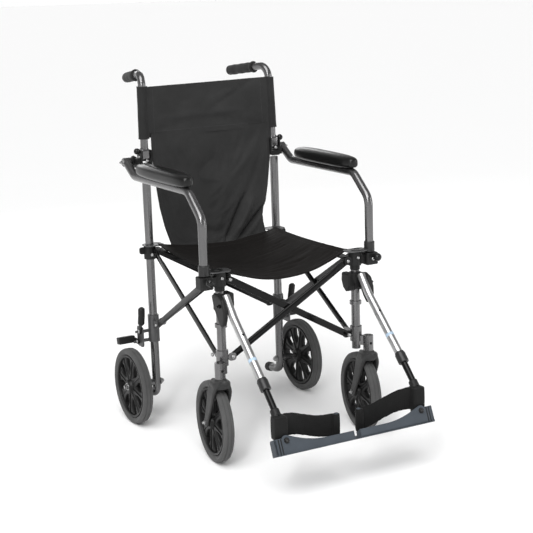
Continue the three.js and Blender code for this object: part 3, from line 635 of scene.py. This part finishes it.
# ---- armrest pads
def arm_pad():
    """A moulded pad: crowned on top, full at the front, tucked in along the underside."""
    length, width, height = 284, 50, 37
    middle_z = 684
    across, lengthwise = 48, 72
    rings = []
    for j in range(lengthwise + 1):
        v = -math.cos(math.pi * j / lengthwise)
        shape = max((1 - abs(v) ** 3.4) ** (1 / 3.4), 0.02)
        ring = []
        for c, s in circle(across):
            half = width / 2 * shape * (1 + 0.03 * math.sin(v * 3))
            x = half * math.copysign(abs(c) ** 0.7, c)
            rise = height / 2 * shape ** 0.55
            z = rise * math.copysign(abs(s) ** 0.8, s)
            if s < 0:
                z *= 0.8
            z += 1.6 * (1 - (x / (width / 2)) ** 2) * shape
            ring.append(at(ARM_X + x, v * length / 2, middle_z + z))
        rings.append(ring)
    return loft(rings)


for pad in pair("armrest_pad", arm_pad, "pad", "armrest", "arm_pad", angle=70):
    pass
pair("pad_carrier", lambda: slab(rounded(34, 246, 12), 5, 1.2, at(ARM_X, 0, 676), X, Y),
     "black_plastic", "armrest")


# ---- cloth
def smooth_noise(x, y, z=0.0, octaves=3):
    return sum(mathutils_noise.noise(Vector((x, y, z)) * 2 ** k) / 2 ** k for k in range(octaves))


def line_length(points):
    return sum((b - a).length for a, b in zip(points, points[1:]))


class Cloth:
    """A woven sheet over a grid of points, turned into a closed skin of the cloth's thickness."""

    def __init__(self, point, nu, nv, width, length):
        self.nu, self.nv = nu, nv
        self.grid = [(i / nu, j / nv) for j in range(nv + 1) for i in range(nu + 1)]
        self.points = [point(u, v) for u, v in self.grid]
        self.uvs = [(u * width, v * length) for u, v in self.grid]

    def index(self, i, j):
        return j * (self.nu + 1) + i

    def column(self, i, low=0, high=None):
        return [self.index(i, j) for j in range(low, (self.nv if high is None else high) + 1)]

    def row(self, j, first, last):
        return [self.index(i, j) for i in range(first, last + 1)]

    def faces(self, low, high):
        corner = [self.index(i, j) for j in range(low, high) for i in range(self.nu)]
        return [[k, k + 1, k + self.nu + 2, k + self.nu + 1] for k in corner]

    def settle(self, pinned, frames, mass=0.25, gravity=1.0):
        """Lets the sheet hang from its pinned points with Blender's cloth."""
        obj = placed("cloth_work", mesh_from(self.points, self.faces(0, self.nv)))
        group = obj.vertex_groups.new(name="pinned")
        for k, (u, v) in enumerate(self.grid):
            group.add([k], pinned(u, v), "REPLACE")
        modifier = obj.modifiers.new("Cloth", "CLOTH")
        settings = modifier.settings
        settings.quality = 7
        settings.mass = mass
        settings.tension_stiffness = settings.compression_stiffness = 18.0
        settings.shear_stiffness = 10.8
        settings.bending_stiffness = 0.6
        settings.vertex_group_mass = "pinned"
        settings.effector_weights.gravity = gravity
        modifier.collision_settings.use_collision = False
        modifier.point_cache.frame_end = frames
        scene = bpy.context.scene
        for f in range(1, frames + 1):
            scene.frame_set(f)
        settled = obj.evaluated_get(bpy.context.evaluated_depsgraph_get()).to_mesh()
        self.points = [v.co.copy() for v in settled.vertices]
        scene.frame_set(1)
        bpy.data.objects.remove(obj)

    def normals(self):
        out = []
        for j in range(self.nv + 1):
            for i in range(self.nu + 1):
                sideways = (max(i - 1, 0), j), (min(i + 1, self.nu), j)
                upwards = (i, max(j - 1, 0)), (i, min(j + 1, self.nv))
                a, b, c, d = (self.points[self.index(*place)] for place in sideways + upwards)
                out.append((b - a).cross(d - c).normalized())
        return out

    def skin(self, thickness, low=0, high=None):
        """A closed skin over rows low to high, with the whole sheet's normals across a cut between rows."""
        high = self.nv if high is None else high
        first, last = self.index(0, low), self.index(self.nu, high) + 1
        points, normals = self.points[first:last], self.normals()[first:last]
        half = thickness * MM / 2
        front = [p + n * half for p, n in zip(points, normals)]
        back = [p - n * half for p, n in zip(points, normals)]
        faces = [[v - first for v in f] for f in self.faces(low, high)]
        count, width, rows = last - first, self.nu + 1, high - low
        edge = list(range(width))
        edge += [j * width + self.nu for j in range(1, rows + 1)]
        edge += [rows * width + i for i in range(self.nu - 1, -1, -1)]
        edge += [j * width for j in range(rows - 1, 0, -1)]
        closed = faces + [[v + count for v in f[::-1]] for f in faces]
        closed += [[b, a, a + count, b + count] for a, b in zip(edge, edge[1:] + edge[:1])]
        mesh = mesh_from(front + back, closed, self.uvs[first:last] * 2)
        for face in mesh.polygons:
            face.use_smooth = True
        mesh.normals_split_custom_set_from_vertices([tuple(n) for n in normals + [-n for n in normals]])
        return mesh

    def area(self, low, high):
        total = 0.0
        for corners in self.faces(low, high):
            a, b, c, d = (self.points[k] for k in corners)
            total += (b - a).cross(c - a).length / 2 + (c - a).cross(d - a).length / 2
        return total

    def seam(self, grid_points, lift):
        """Stitches along a list of grid points: short thread beads standing on the cloth."""
        normals = self.normals()
        path = [self.points[k] + normals[k] * lift * MM for k in grid_points]
        lengths = [0.0]
        for a, b in zip(path, path[1:]):
            lengths.append(lengths[-1] + (b - a).length)
        pitch, beads, k = 3.2 * MM, [], 0
        at_length = 0.5 * pitch
        while at_length < lengths[-1] - 0.5 * pitch:
            while lengths[k + 1] < at_length:
                k += 1
            p = path[k].lerp(path[k + 1], (at_length - lengths[k]) / (lengths[k + 1] - lengths[k]))
            reach = (path[k + 1] - path[k]).normalized() * 0.32 * pitch
            beads.append(sweep([p - reach, p + reach], 0.55, 6, 0.25))
            at_length += pitch
        return joined(beads)


def arch(u):
    return 4 * u * (1 - u)


def clamped(t):
    return max(0.0, min(1.0, t))


def fold(x, z, start, end, depth, width):
    """Depth of a soft valley along a line from start to end, fading out at both."""
    dx, dz = end[0] - start[0], end[1] - start[1]
    length = math.hypot(dx, dz)
    t = ((x - start[0]) * dx + (z - start[1]) * dz) / length ** 2
    off = ((x - start[0]) * dz - (z - start[1]) * dx) / length
    fade = clamped((t + 0.15) * 3) * clamped((1.15 - t) * 3)
    return depth * fade * math.exp(-((off / width) ** 2))


# ---- seat
SEAT_HALF, SEAT_FRONT, SEAT_REAR, SEAT_Z = 177, -187, 178, 480


def seat_point(u, v):
    """Held at its corners: every edge hangs in a bow, the front one the deepest."""
    sag = arch(u) ** 0.92 * (45 * (1 - v) ** 2 + 27 * (1 - (1 - v) ** 2))
    sag += (23 * (1 - u) + 1 * u) * arch(v) * (1 - 0.5 * arch(u)) - 9 * v ** 3 * arch(u)
    x = (2 * u - 1) * SEAT_HALF * (1 - 0.06 * arch(v))
    y = SEAT_FRONT + v * (SEAT_REAR - SEAT_FRONT) + 6 * arch(u) * (1 - 2 * v)
    # tension creases fan out from the corners and wander from side to side
    fan = math.atan2(y + 330, 330 + x) + 0.35 * math.atan2(y + 330, 330 - x)
    crease = smooth_noise(fan * 9, x * 0.008, 1.0, 4) * 2.8
    crease += smooth_noise(x * 0.015 + 7, y * 0.042, 3.0) * 2.6 + smooth_noise(x * 0.03, y * 0.075, 8.0) * 1.0
    return at(x, y, SEAT_Z - sag + crease * min(1.0, 2.5 * arch(u) + 0.15))


SEAT_ROWS = 72
seat_cloth = Cloth(seat_point, 72, SEAT_ROWS, 0.372, 0.366)
seat_cloth.settle(lambda u, v: 1.0 if u in (0, 1) else (0.5 if v == 1 else 0.04), 14, mass=0.2)


# ---- backrest
def handle_at(z):
    """x and y of the handle's straight part at this height."""
    (x0, y0, z0), (x1, y1, z1), _ = HANDLE_LINE
    return x0 + (x1 - x0) * (z - z0) / (z1 - z0), y0 + (y1 - y0) * (z - z0) / (z1 - z0)


BAND_LOW, BAND_HIGH = 753, 886
LOWER_BACK = (452, 764)
CREASE_Z = 706                  # where the back folds
BAND_FOLDS = (
    ((140, 884), (15, 815), 3.6, 9), ((-20, 800), (150, 762), 2.4, 12), ((-130, 800), (90, 806), -3.4, 9),
    ((120, 868), (30, 846), -1.8, 8), ((-120, 860), (-20, 822), 1.8, 12), ((-150, 772), (-60, 780), 1.6, 9),
)
LOWER_FOLDS = (
    ((152, 545), (66, 462), 15, 6.5), ((92, 572), (26, 456), 14, 6.5), ((116, 566), (56, 476), -12, 10),
    ((40, 600), (-5, 470), -7, 14), ((170, 745), (-60, 640), 5.5, 17), ((130, 690), (-30, 560), -6, 22),
    ((-165, 700), (-110, 560), 4, 12), ((-120, 520), (40, 480), 3, 12), ((20, 690), (-90, 600), 3, 10),
    ((-150, 740), (-40, 700), -2.6, 11),
)


def folded(x, z, folds):
    return sum(fold(x, z, *crease) for crease in folds)


def band_point(u, v):
    z = BAND_LOW + v * (BAND_HIGH - BAND_LOW)
    handle_x, handle_y = handle_at(z)
    half = handle_x - 3
    x = (2 * u - 1) * half
    near = max(0.0, 1 - (half - abs(x)) / 26)
    y = handle_y - 12.2 + 5.5 * math.sin(min(1.0, (1 - near) * 1.6) * math.pi / 2)
    y += 15 * arch(u) ** 0.8 - 1.6 * math.exp(-((v - 0.5) / 0.3) ** 2) * arch(u)
    y += folded(x, z, BAND_FOLDS) + smooth_noise(x * 0.012, z * 0.02, 4.0) * 2.6 * arch(u) ** 0.5
    return at(x, y, z + 3 * (2 * u - 1) * (v - 0.5) - 1.5 * arch(u) * (2 * v - 1))


RIGHT_EDGE = ((452, 471, 520, 571, 628, 700, 764), (119, 135, 150, 160, 166, 171, 172))
LEFT_EDGE = ((452, 472, 500, 520, 548, 600, 667, 738, 764), (147, 149, 143, 142, 153, 164, 174, 182, 183))


def lower_point(u, v):
    z = LOWER_BACK[0] + v * (LOWER_BACK[1] - LOWER_BACK[0])
    right, left = np.interp(z, *RIGHT_EDGE), np.interp(z, *LEFT_EDGE)
    x = -right + u * (right + left)
    y = 182 + 15.5 * min(1.0, v * 1.25) + 17 * arch(u) * math.sin(min(1.0, v * 1.7) * math.pi / 2)
    y += folded(x, z, LOWER_FOLDS) + smooth_noise(x * 0.011 + 9, z * 0.012, 2.0) * 4.0 * arch(u) ** 0.4
    return at(x, y, z)


BACK_ROWS, BAND_ROWS = 78, 30
back_cloth = Cloth(lower_point, 64, BACK_ROWS, 0.335, 0.312)
back_cloth.settle(lambda u, v: 1.0 if v in (0, 1) else (0.35 if u in (0, 1) else 0.12), 8, gravity=0.3)
band_cloth = Cloth(band_point, 72, BAND_ROWS, 0.37, 0.134)

HALF_ROW = SEAT_ROWS // 2
CREASE_ROW = round(BACK_ROWS * (CREASE_Z - LOWER_BACK[0]) / (LOWER_BACK[1] - LOWER_BACK[0]))
SHEETS = (      # name, cloth, its rows, thickness, material, body, CAD nodes
    ("seat_front_cloth", seat_cloth, (0, HALF_ROW), 2.6, "nylon", "front_corner_right", ("seat_sling",)),
    ("seat_rear_cloth", seat_cloth, (HALF_ROW, SEAT_ROWS), 2.6, "nylon", "rear_corner_right", ()),
    ("back_lower_cloth", back_cloth, (0, CREASE_ROW), 2.4, "back_nylon", "rear_frame_right", ("back_lower",)),
    ("back_lower_top_cloth", back_cloth, (CREASE_ROW, BACK_ROWS), 2.4, "back_nylon", "back_right", ()),
    ("back_band_cloth", band_cloth, (0, BAND_ROWS), 3.0, "back_nylon", "back_right", ("back_upper",)),
)
panels = [
    piece(name, cloth.skin(thickness, *rows), material, body, nodes, angle=None)
    for name, cloth, rows, thickness, material, body, nodes in SHEETS
]


def sleeve():
    """Cloth channel that slips over the back tube, open at both ends, with soft dents."""
    rings = []
    for k in range(25):
        z = BAND_LOW - 1 + (BAND_HIGH - BAND_LOW + 1) * k / 24
        x, y = handle_at(z)
        ring = []
        for c, s in circle(40):
            r = 13.6 + 0.6 * smooth_noise(c * 1.3, s * 1.3, z * 0.02) + (0.5 if k in (0, 24) else 0.0)
            ring.append(at(x + r * c, y + r * s, z))
        rings.append(ring)
    return loft(rings)


pair("back_sleeve", sleeve, "back_nylon", "back", angle=60)


# ---- heel straps
STRAP_HEIGHT = 55


def strap_line():
    """From the outer face of the holder, round its front, and in a slack bow to the inner upright."""
    start, pull, end = Vector((174, -461)), Vector((105, -431)), Vector((39, -453))
    bow = [start * (1 - t) ** 2 + pull * 2 * t * (1 - t) + end * t ** 2 for t in (k / 40 for k in range(41))]
    return [at(p.x, p.y, 0) for p in bow]


def strap_drop(x):
    """How far the band has come down at this distance from the middle plane, millimetres."""
    t = clamped((172 - x) / 115)
    return 27 * t * t * (3 - 2 * t)


def heel_strap():
    path = strap_line()

    def point(u, v):
        k = u * (len(path) - 1)
        i = min(int(k), len(path) - 2)
        p = path[i].lerp(path[i + 1], k - i)
        frayed = 0.8 * smooth_noise(u * 11, v * 2, 3.0)
        z = 139 + STRAP_HEIGHT * v - strap_drop(p.x / MM) - 2.2 * arch(u) * (2 * v - 1)
        return Vector((p.x, p.y + (frayed + 1.6 * math.sin(v * math.pi) * arch(u)) * MM, (z + frayed) * MM))

    length = line_length(path)
    return Cloth(point, 44, 12, length, STRAP_HEIGHT * MM), length


def strap_loop(centre, half_x, half_y, low, high, corner):
    """A closed band of webbing round an upright, with soft corners and a slightly uneven rim."""
    rings = []
    outline = rounded(2 * half_x, 2 * half_y, corner, 8)
    for k in range(15):
        t = k / 14
        swell = 0.6 * math.sin(t * math.pi) + (0.0 if 0 < k < 14 else -0.6)
        ring = []
        for i, (x, y) in enumerate(outline):
            grow = 1 + swell / max(half_x, half_y)
            wave = 0.7 * smooth_noise(i * 0.21, t * 2.5, 6.0)
            ring.append(at(centre[0] + x * grow, centre[1] + y * grow, low + (high - low) * t + wave))
        rings.append(ring)
    return loft(rings)


strap_cloth, STRAP_LENGTH = heel_strap()
straps = pair("heel_strap_webbing", lambda: strap_cloth.skin(2.4), "webbing", None, "heel_strap", angle=None)
LOOPS = (
    ("outer", "extension", ((187.5, -466), 16, 14.5, 140, 193, 7)),
    ("inner", "plate", ((32, -456), 9, 7.5, 113, 166, 6.5)),
)
for name, body, form in LOOPS:
    pair(f"heel_strap_{name}_loop", lambda: strap_loop(*form), "webbing", body, angle=60)


# ---- scissor braces
BRACE_SPAN, BRACE_RISE = 330, UPPER_Z - LOWER_Z
BRACE_HALF = math.hypot(BRACE_RISE, BRACE_SPAN) / 2
BRACE_ANGLE = math.atan2(BRACE_RISE, BRACE_SPAN)
LAYER = 2.6


def brace(centre, sideways, out, lean, outer):
    """An oval tube pressed flat at its pivots, on the face that looks along out."""
    way = sideways * math.cos(BRACE_ANGLE) * lean + Z * math.sin(BRACE_ANGLE)
    across = out.cross(way)
    far = out if outer else -out
    mid = centre + far * LAYER * MM
    ends = []
    for end in (1, -1):
        for k in range(17):
            a = math.radians(-90 + 180 * k / 16)
            ends.append((end * (BRACE_HALF + 8.5 * math.cos(a)), end * 8.5 * math.sin(a)))
    face = slab(ends, 4, 1.5, mid, way, across)
    belly = mid + far * 1.2 * MM
    reach = BRACE_HALF - 26
    rings = []
    for k in range(25):
        t = -1 + 2 * k / 24
        swell = (1 - abs(t) ** 10) ** 0.5
        middle_point = belly + way * t * reach * MM
        rings.append([middle_point + across * 8.4 * c * (0.9 + 0.1 * swell) * MM
                      + far * (4.2 * max(s, -0.15) * swell) * MM for c, s in circle(24)])
    return joined([face, loft(rings)])


MID_Z = (LOWER_Z + UPPER_Z) / 2
for name, way, lean, outer in (("rear_{}_a", 1, 1, False), ("rear_{}_b", 1, -1, True),
                               ("front_{}_a", -1, 1, True), ("front_{}_b", -1, -1, False)):
    body = name.format("bar")
    mesh = brace(at(0, POST_Y * way, MID_Z), X, Y * way, lean, outer)
    piece(f"{body}_tube", mesh, "black_steel", body, (name.format("brace"),), angle=50)
for name, lean, outer, paint in (("side_{}_a", -1, True, "dark_steel"),
                                 ("side_{}_b", 1, False, "black_steel")):
    body = name.format("bar")
    pair(f"{body}_tube", lambda: brace(at(190, 0, MID_Z), Y, X, lean, outer), paint, body,
         name.format("brace"), angle=50)

REACH = 9.4         # from a corner's middle plane out to the rivets on its lugs
for z, end, body in ((UPPER_Z, -1, "front_corner"), (UPPER_Z, 1, "rear_corner"),
                     (LOWER_Z, -1, "front_frame"), (LOWER_Z, 1, "rear_frame")):
    studs(f"{body}_rivets", body, ((165, end * (POST_Y + REACH), z), Y * end, 4.6),
          ((FRAME_X + REACH, end * 165, z), X, 4.6), angle=40)


# ---- corner trim
def ball_knob(centre, out, radius):
    """A round knob on a short neck."""
    profile = [(0, -radius * 1.7), (radius * 0.45, -radius * 1.7), (radius * 0.42, -radius * 0.9)]
    for k in range(2, 16):
        a = math.pi * k / 16
        profile.append((radius * math.sin(a), -radius * math.cos(a)))
    return lathe([*profile, (0, radius)], centre, out, 36)


def corner_plate(width, depth, corner, *middle_point):
    return lambda: slab(rounded(width, depth, corner), 2.6, 1, at(*middle_point), X, Y)


def sleeve_bar(start, end, radius, segments, chamfer):
    return lambda: sweep(line([start, end]), radius, segments, chamfer)


KNOB = {"build": ball_knob, "material": "gloss_plastic"}
studs("corner_ball_knob", "front_corner", ((233, -238, 462), -Y, 10.2), **KNOB)
studs("back_release_knob", "rear_frame", ((211, 202, 722), (1, 0, 0.15), 8.2), **KNOB)
pair("rear_corner_plate", corner_plate(54, 46, 15, 182, 196, 474.6), "collar", "rear_corner")
pair("front_corner_plate", corner_plate(62, 42, 17, 193, -POST_Y, 478.4), "collar", "front_corner")
RING = [(8, 0), (15, 0), (15, 2), (8, 2)]
pair("front_corner_ring", lambda: lathe(RING, at(196, -POST_Y, 479), Z, 40, closed=True),
     "gloss_plastic", "front_corner")
pair("front_post_stop", sleeve_bar((190, -POST_Y, 430), (190, -POST_Y, 441), 12.6, 36, 1.2),
     "black_plastic", "front_frame")
pair("post_tip_cap", sleeve_bar((190, 247, 63.1), (190, 269.5, 59.8), 12.8, 36, 2.4), "grip", "rear_frame")
studs("arm_pivot_cap", "armrest", ((240, 229, 693), X, 4.6), build=axle_cap)
pair("arm_boot", sleeve_bar((ARM_X, -204, 471.2), (ARM_X, -204, 498), 13.4, 40, 1.6), "dark_steel", "armrest")
studs("hinge_rivet", "rear_frame", ((206, 203, 706), X, 5.2))
studs("hinge_front_rivet", "rear_frame", ((190, 187.6, 697), -Y, 4.2))
studs("block_rivets", "front_corner", ((231, -221.2, 455), -Y, 4.4), ((190, -216.4, 462), -Y, 4.2))
studs("stem_set_screw", "front_frame", ((210, -238.2, 243), -Y, 3.4), material="black_steel")
studs("clamp_button", "hanger", ((209, -238, 402), X, 4.6), build=axle_cap, material="black_steel")
HANGER_FRONT = Vector((0, -0.678, 0.735))
# Painted shade: a dark stud on the tube stands for the shade inside the hanger's pin hole.
pair("hanger_pin_hole_painted_shade", lambda: rivet(up_hanger(140) + HANGER_FRONT * 9.4 * MM, HANGER_FRONT, 3.2),
     "black_steel", "hanger")


# ---- hanger clamps
def hanger_clamp():
    """Swing-away socket: a sleeve on the post, a hooked catch behind it and a rounded cheek by the tube."""
    catch = [(-16, 38), (18, 38), (20, 18), (13, 0), (0, -9), (-12, -6), (-17, 8)]
    cheek = [(-24, 24), (10, 30), (30, 22), (40, 0), (42, -20), (34, -40), (20, -46), (8, -34), (-14, -4)]
    nose = [(-16, 24), (14, 24), (2, -4), (-6, -20), (-16, -22)]
    return fused([
        sweep(line([(190, -POST_Y, 383), (190, -POST_Y, 424)]), 16.5, 40, 2.5),
        slab(catch, 18, 3, at(169, -201, 386), Y, Z),
        slab(cheek, 12, 4, at(204, -216, 396), -Y, Z),
        slab(nose, 26, 3, at(190, -214, 398), -Y, Z),
    ], smooth=4)


pair("hanger_clamp_body", hanger_clamp, "black_plastic", "hanger", "hanger_clamp", angle=60)


# ---- brakes
def brake_lever():
    arm = slab([(-9, 0), (-6, -7), (0, -9), (6, -7), (9, 0), (-6, 30), (-14, 34), (-20, 27)], 4, 1.2,
               at(227.35, 210, 243), Y, Z)
    grip = sweep(line([(227.5, 197, 262), (227.5, 190.5, 290), (228.5, 186, 314)], 30), 9.2, 32, 5, flat=0.85)
    return fused([arm, grip], 1.3, 3)


def brake_shoe():
    """The rubber block over the tyre, on its pivoted arm."""
    arm = slab([(-8, 0), (0, -7), (34, -4), (36, 6), (0, 8)], 4.5, 1.4, at(227.5, 224, 212), Y, Z)
    pad = slab(rounded(46, 19, 3), 21, 2, at(249, 254, 213), X, Vector((0, math.sin(0.2), math.cos(0.2))))
    return joined([arm, pad])


pair("brake_pad", brake_shoe, "black_plastic", "shoe", "brake_shoe")
pair("brake_handle", brake_lever, "black_plastic", "brake", "brake_lever", angle=60)
studs("brake_pivot_caps", "rear_frame", ((230.5, 210, 243), X, 6), ((230.5, 224, 212), X, 5))


# ---- footrests
def strap_holder():
    """Upright moulding that joins the sliding tube to the plate's hinge, wrapped by the strap's loop."""
    column = slab(rounded(28, 25, 8), 55, 3, at(187.5, -466, 167), X, Y)
    tongue = slab(rounded(18, 20, 5), 32, 2, at(183, -466, 137), X, Y)
    neck = sweep(line([(189, -447, 204), (189, -460, 190)]), 11, 32, 2)
    return fused([column, tongue, neck], 1.5, 4)


def hinge_bolt():
    x, z = PLATE["hinge"]
    head = axle_cap(at(x, -491, z), -Y, 3.6)
    return joined([sweep(line([(x, -493, z), (x, -458, z)]), 4, 24), head])


PLATE = {"inner": 8, "outer": 214, "front": -504, "depth": 76, "z": 113, "hinge": (183, 142)}
PLATE_BACK = Vector((0, math.cos(PLATE_PITCH), -math.sin(PLATE_PITCH)))
PLATE_UP = Vector((0, math.sin(PLATE_PITCH), math.cos(PLATE_PITCH)))
SLIDE_LINE = [up_hanger(114), at(*HANGER[1]), at(189, -463, 189.7)]
pair("footrest_slide_tube", lambda: sweep(SLIDE_LINE, 7.8, 36), "black_steel",
     "extension", "footrest_extension")
pair("heel_strap_holder", strap_holder, "black_plastic", "extension", angle=60)
pair("footplate_hinge_bolt", hinge_bolt, "dark_steel", "extension")


def on_plate(x, y, z):
    """A point in the plate's own drawing: x across, y back along the tread, z up its leaning wall."""
    return at(x, PLATE["front"], PLATE["z"]) + (PLATE_BACK * y + PLATE_UP * z) * MM


def plate_wall():
    """Outline of the front wall: low at the inner end, humped round the hinge, square outside it."""
    inner, outer, hinge_x = PLATE["inner"], PLATE["outer"], PLATE["hinge"][0]
    wall = [(inner, 0), (outer, 0), (outer, 39), (hinge_x + 12, 39)]
    wall += [(hinge_x + 12 * math.cos(math.radians(a)), 33 + 11.5 * math.sin(math.radians(a)))
             for a in range(25, 115, 15)]
    for k in range(1, 12):
        t = k / 11
        wall.append((hinge_x - 10 - 92 * t, 21 + 22 * (1 - math.sin(t * math.pi / 2) ** 0.8)))
    return wall + [(inner, 21)]


def footplate():
    inner, outer, depth = PLATE["inner"], PLATE["outer"], PLATE["depth"]
    tread = [(inner, 0), (outer, 0), (outer - 40, depth - 6), (outer - 52, depth), (inner + 12, depth)]
    tread.append((inner, depth - 12))
    side = [(0, 0), (26, 0), (25, 34), (22, 38), (0, 39)]
    lip = [(0, 0), (22, 0), (20, 16), (0, 21)]
    parts = [
        slab(plate_wall(), 5, 1.6, on_plate(0, 2.5, 0), X, PLATE_UP),
        slab(tread, 7, 2, on_plate(0, 0, 3.5), X, PLATE_BACK),
        slab(side, 5, 1.6, on_plate(outer - 2.5, 0, 0), PLATE_BACK, PLATE_UP),
        slab(lip, 4, 1.4, on_plate(inner + 2, 0, 0), PLATE_BACK, PLATE_UP),
    ]
    for k in range(8):
        y = 13 + k * 7.4
        rib = [on_plate(inner + 8, y, 7.2), on_plate(outer - 12 - 0.55 * y, y, 7.2)]
        parts.append(sweep(rib, 1.4, 10, 0.4))
    post = sweep(line([(30, -456, 102), (30, -456, 168)]), 5, 28, 1.6)
    return joined([*parts, post])


def plate_painted_groove_shade():
    """Painted shade: two dark strips for the shade in the shut lines at the outer end of the front wall, and a
    dark ring for the shade in the recess around the hinge bolt.
    """
    parts = [slab(rounded(2.6, 36, 1), 1, 0.2, on_plate(x, -0.1, 20), X, PLATE_UP) for x in (197.5, 204)]
    ring = [(4.5, -1), (7, -1), (7, 0.5), (4.5, 0.5)]
    centre = on_plate(PLATE["hinge"][0], 0, 32)
    parts.append(lathe(ring, centre, -PLATE_BACK, 32, closed=True))
    return joined(parts)


pair("footplate_shell", footplate, "slate", "plate", "footplate")
# painted shade of the footplate's shut lines and hinge recess, drawn in dark plastic
pair("footplate_painted_groove_shade", plate_painted_groove_shade, "black_plastic", "plate")


# ---- CAD nodes that are shown as they are
SHOWN = {
    "front_post": "silver", "hanger_bush": "silver", "rear_collar": "collar", "arm_stub": "dark_steel",
    "rear_bracket": "black_plastic", "front_bracket": "black_plastic", "back_hinge": "black_plastic",
}
for node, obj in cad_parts.items():
    if obj.hide_render:
        continue
    material = SHOWN[node.rsplit("_", 1)[0]]
    obj.data.materials.clear()
    obj.data.materials.append(MATERIALS[material])
    smooth_by_angle(obj.data, 32)
    bevel = obj.modifiers.new("Bevel", "BEVEL")
    bevel.width = 0.9 * MM
    bevel.segments = 2
    bevel.limit_method = "ANGLE"
    bevel.angle_limit = math.radians(34)
    bevel.harden_normals = False


# ---- hems and seams
def sides(cloth, inset, low, high):
    """The columns of grid points this far in from both side edges."""
    return [cloth.column(i, low, high) for i in (inset, cloth.nu - inset)]


HEMS = (        # name, cloth, lines of grid points, body, height above the cloth
    ("seat_front_hem", seat_cloth, [seat_cloth.row(4, 2, 70)], "front_corner_right", 0.9),
    ("seat_rear_hem", seat_cloth, [seat_cloth.row(69, 2, 70)], "rear_corner_right", 0.9),
    ("seat_front_side_hems", seat_cloth, sides(seat_cloth, 3, 1, HALF_ROW), "front_corner_right", 0.9),
    ("seat_rear_side_hems", seat_cloth, sides(seat_cloth, 3, HALF_ROW, 71), "rear_corner_right", 0.9),
    ("back_lower_side_hems", back_cloth, sides(back_cloth, 2, 1, CREASE_ROW), "rear_frame_right", 0.9),
    ("back_top_side_hems", back_cloth, sides(back_cloth, 2, CREASE_ROW, 74), "back_right", 0.9),
    ("back_bottom_hem", back_cloth, [back_cloth.row(4, 2, 62)], "rear_frame_right", 0.9),
    ("back_sleeve_seams", band_cloth, sides(band_cloth, 5, 1, 29), "back_right", 1.2),
    ("back_band_hem", band_cloth, [band_cloth.row(3, 5, 67)], "back_right", 1.2),
)
hems = [
    piece(name, joined([cloth.seam(path, lift) for path in paths]), "thread", body, angle=60)
    for name, cloth, paths, body, lift in HEMS
]


# ---- the cloth gets its own meshes, the sheets' flat sizes are worked out and the straps are baked in place
for cloth in panels + hems:
    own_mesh(cloth)
for panel, (_, cloth, (low, high), *_) in zip(panels, SHEETS):
    length = line_length([cloth.points[k] for k in cloth.column(cloth.nu // 2, low, high)])
    flat = (cloth.area(low, high) / length, length)
for (side, sign), strap in zip(SIDES, straps):
    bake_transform(strap)
    flat = (STRAP_HEIGHT * MM, STRAP_LENGTH)


# ---- camera, floor and light
def set_camera(scene):
    """Azimuth 0 looks along +Y, and roll turns about the line of sight."""
    azimuth, elevation, roll = (math.radians(a) for a in (-28.591, 12.646, -1.831))
    target, distance = Vector((-0.0005, -0.0263, 0.4425)), 3.3488
    camera = placed("camera", bpy.data.cameras.new("camera"))
    turn = Matrix.Rotation(azimuth, 4, "Z") @ Matrix.Rotation(math.pi / 2 - elevation, 4, "X")
    turn = turn @ Matrix.Rotation(roll, 4, "Z")
    camera.matrix_world = Matrix.Translation(target) @ turn @ Matrix.Translation(Z * distance)
    camera.data.lens = 90.3
    camera.data.sensor_width = 36
    camera.data.clip_end = 50
    scene.camera = camera


def set_world(scene):
    """White below and at the horizon, dimmer overhead."""
    world = bpy.data.worlds.new("studio_world")
    scene.world = world
    world.use_nodes = True
    tree = world.node_tree
    height = tree.nodes.new("ShaderNodeSeparateXYZ")
    tree.links.new(tree.nodes.new("ShaderNodeTexCoord").outputs["Generated"], height.inputs["Vector"])
    level = tree.nodes.new("ShaderNodeMapRange")
    tree.links.new(height.outputs["Z"], level.inputs["Value"])
    for socket, value in (("From Min", 0.08), ("From Max", 0.3), ("To Min", 1.0), ("To Max", 0.32)):
        level.inputs[socket].default_value = value
    background = tree.nodes["Background"]
    background.inputs["Color"].default_value = (1, 1, 1, 1)
    tree.links.new(level.outputs["Result"], background.inputs["Strength"])


def studio():
    scene = bpy.context.scene
    set_camera(scene)
    set_world(scene)
    reach = 250
    corners = [(-reach, -reach, 0), (reach, -reach, 0), (reach, reach, 0), (-reach, reach, 0)]
    floor = placed("studio_floor", mesh_from(corners, [[0, 1, 2, 3]]))
    white = Nodes("studio_white", Roughness=0.95, Specular_IOR_Level=0.0, Base_Color=(0.95, 0.95, 0.95, 1))
    floor.data.materials.append(white.material)

    sun = bpy.data.lights.new("overhead", "SUN")
    sun.energy, sun.angle = 2.45, math.radians(52)
    lamps = [placed("overhead", sun)]
    lamps[0].rotation_euler = (math.radians(24), math.radians(-22), 0)
    strips = (
        ("key", (-2.2, -2.4, 2.3), (0.4, 1.9), 42),
        ("fill", (2.6, -2.2, 1.3), (0.25, 1.8), 16),
        ("rim", (0.6, 3.0, 1.6), (2.2, 0.5), 14),
    )
    for name, where, (width, height), power in strips:
        light = bpy.data.lights.new(name, "AREA")
        light.shape, light.size, light.size_y, light.energy = "RECTANGLE", width, height, power
        lamp = placed(name, light)
        lamp.location = where
        lamp.rotation_euler = (Vector((0, 0, 0.45)) - Vector(where)).to_track_quat("-Z", "Y").to_euler()
        lamps.append(lamp)
    scene.view_settings.view_transform = "Standard"


studio()
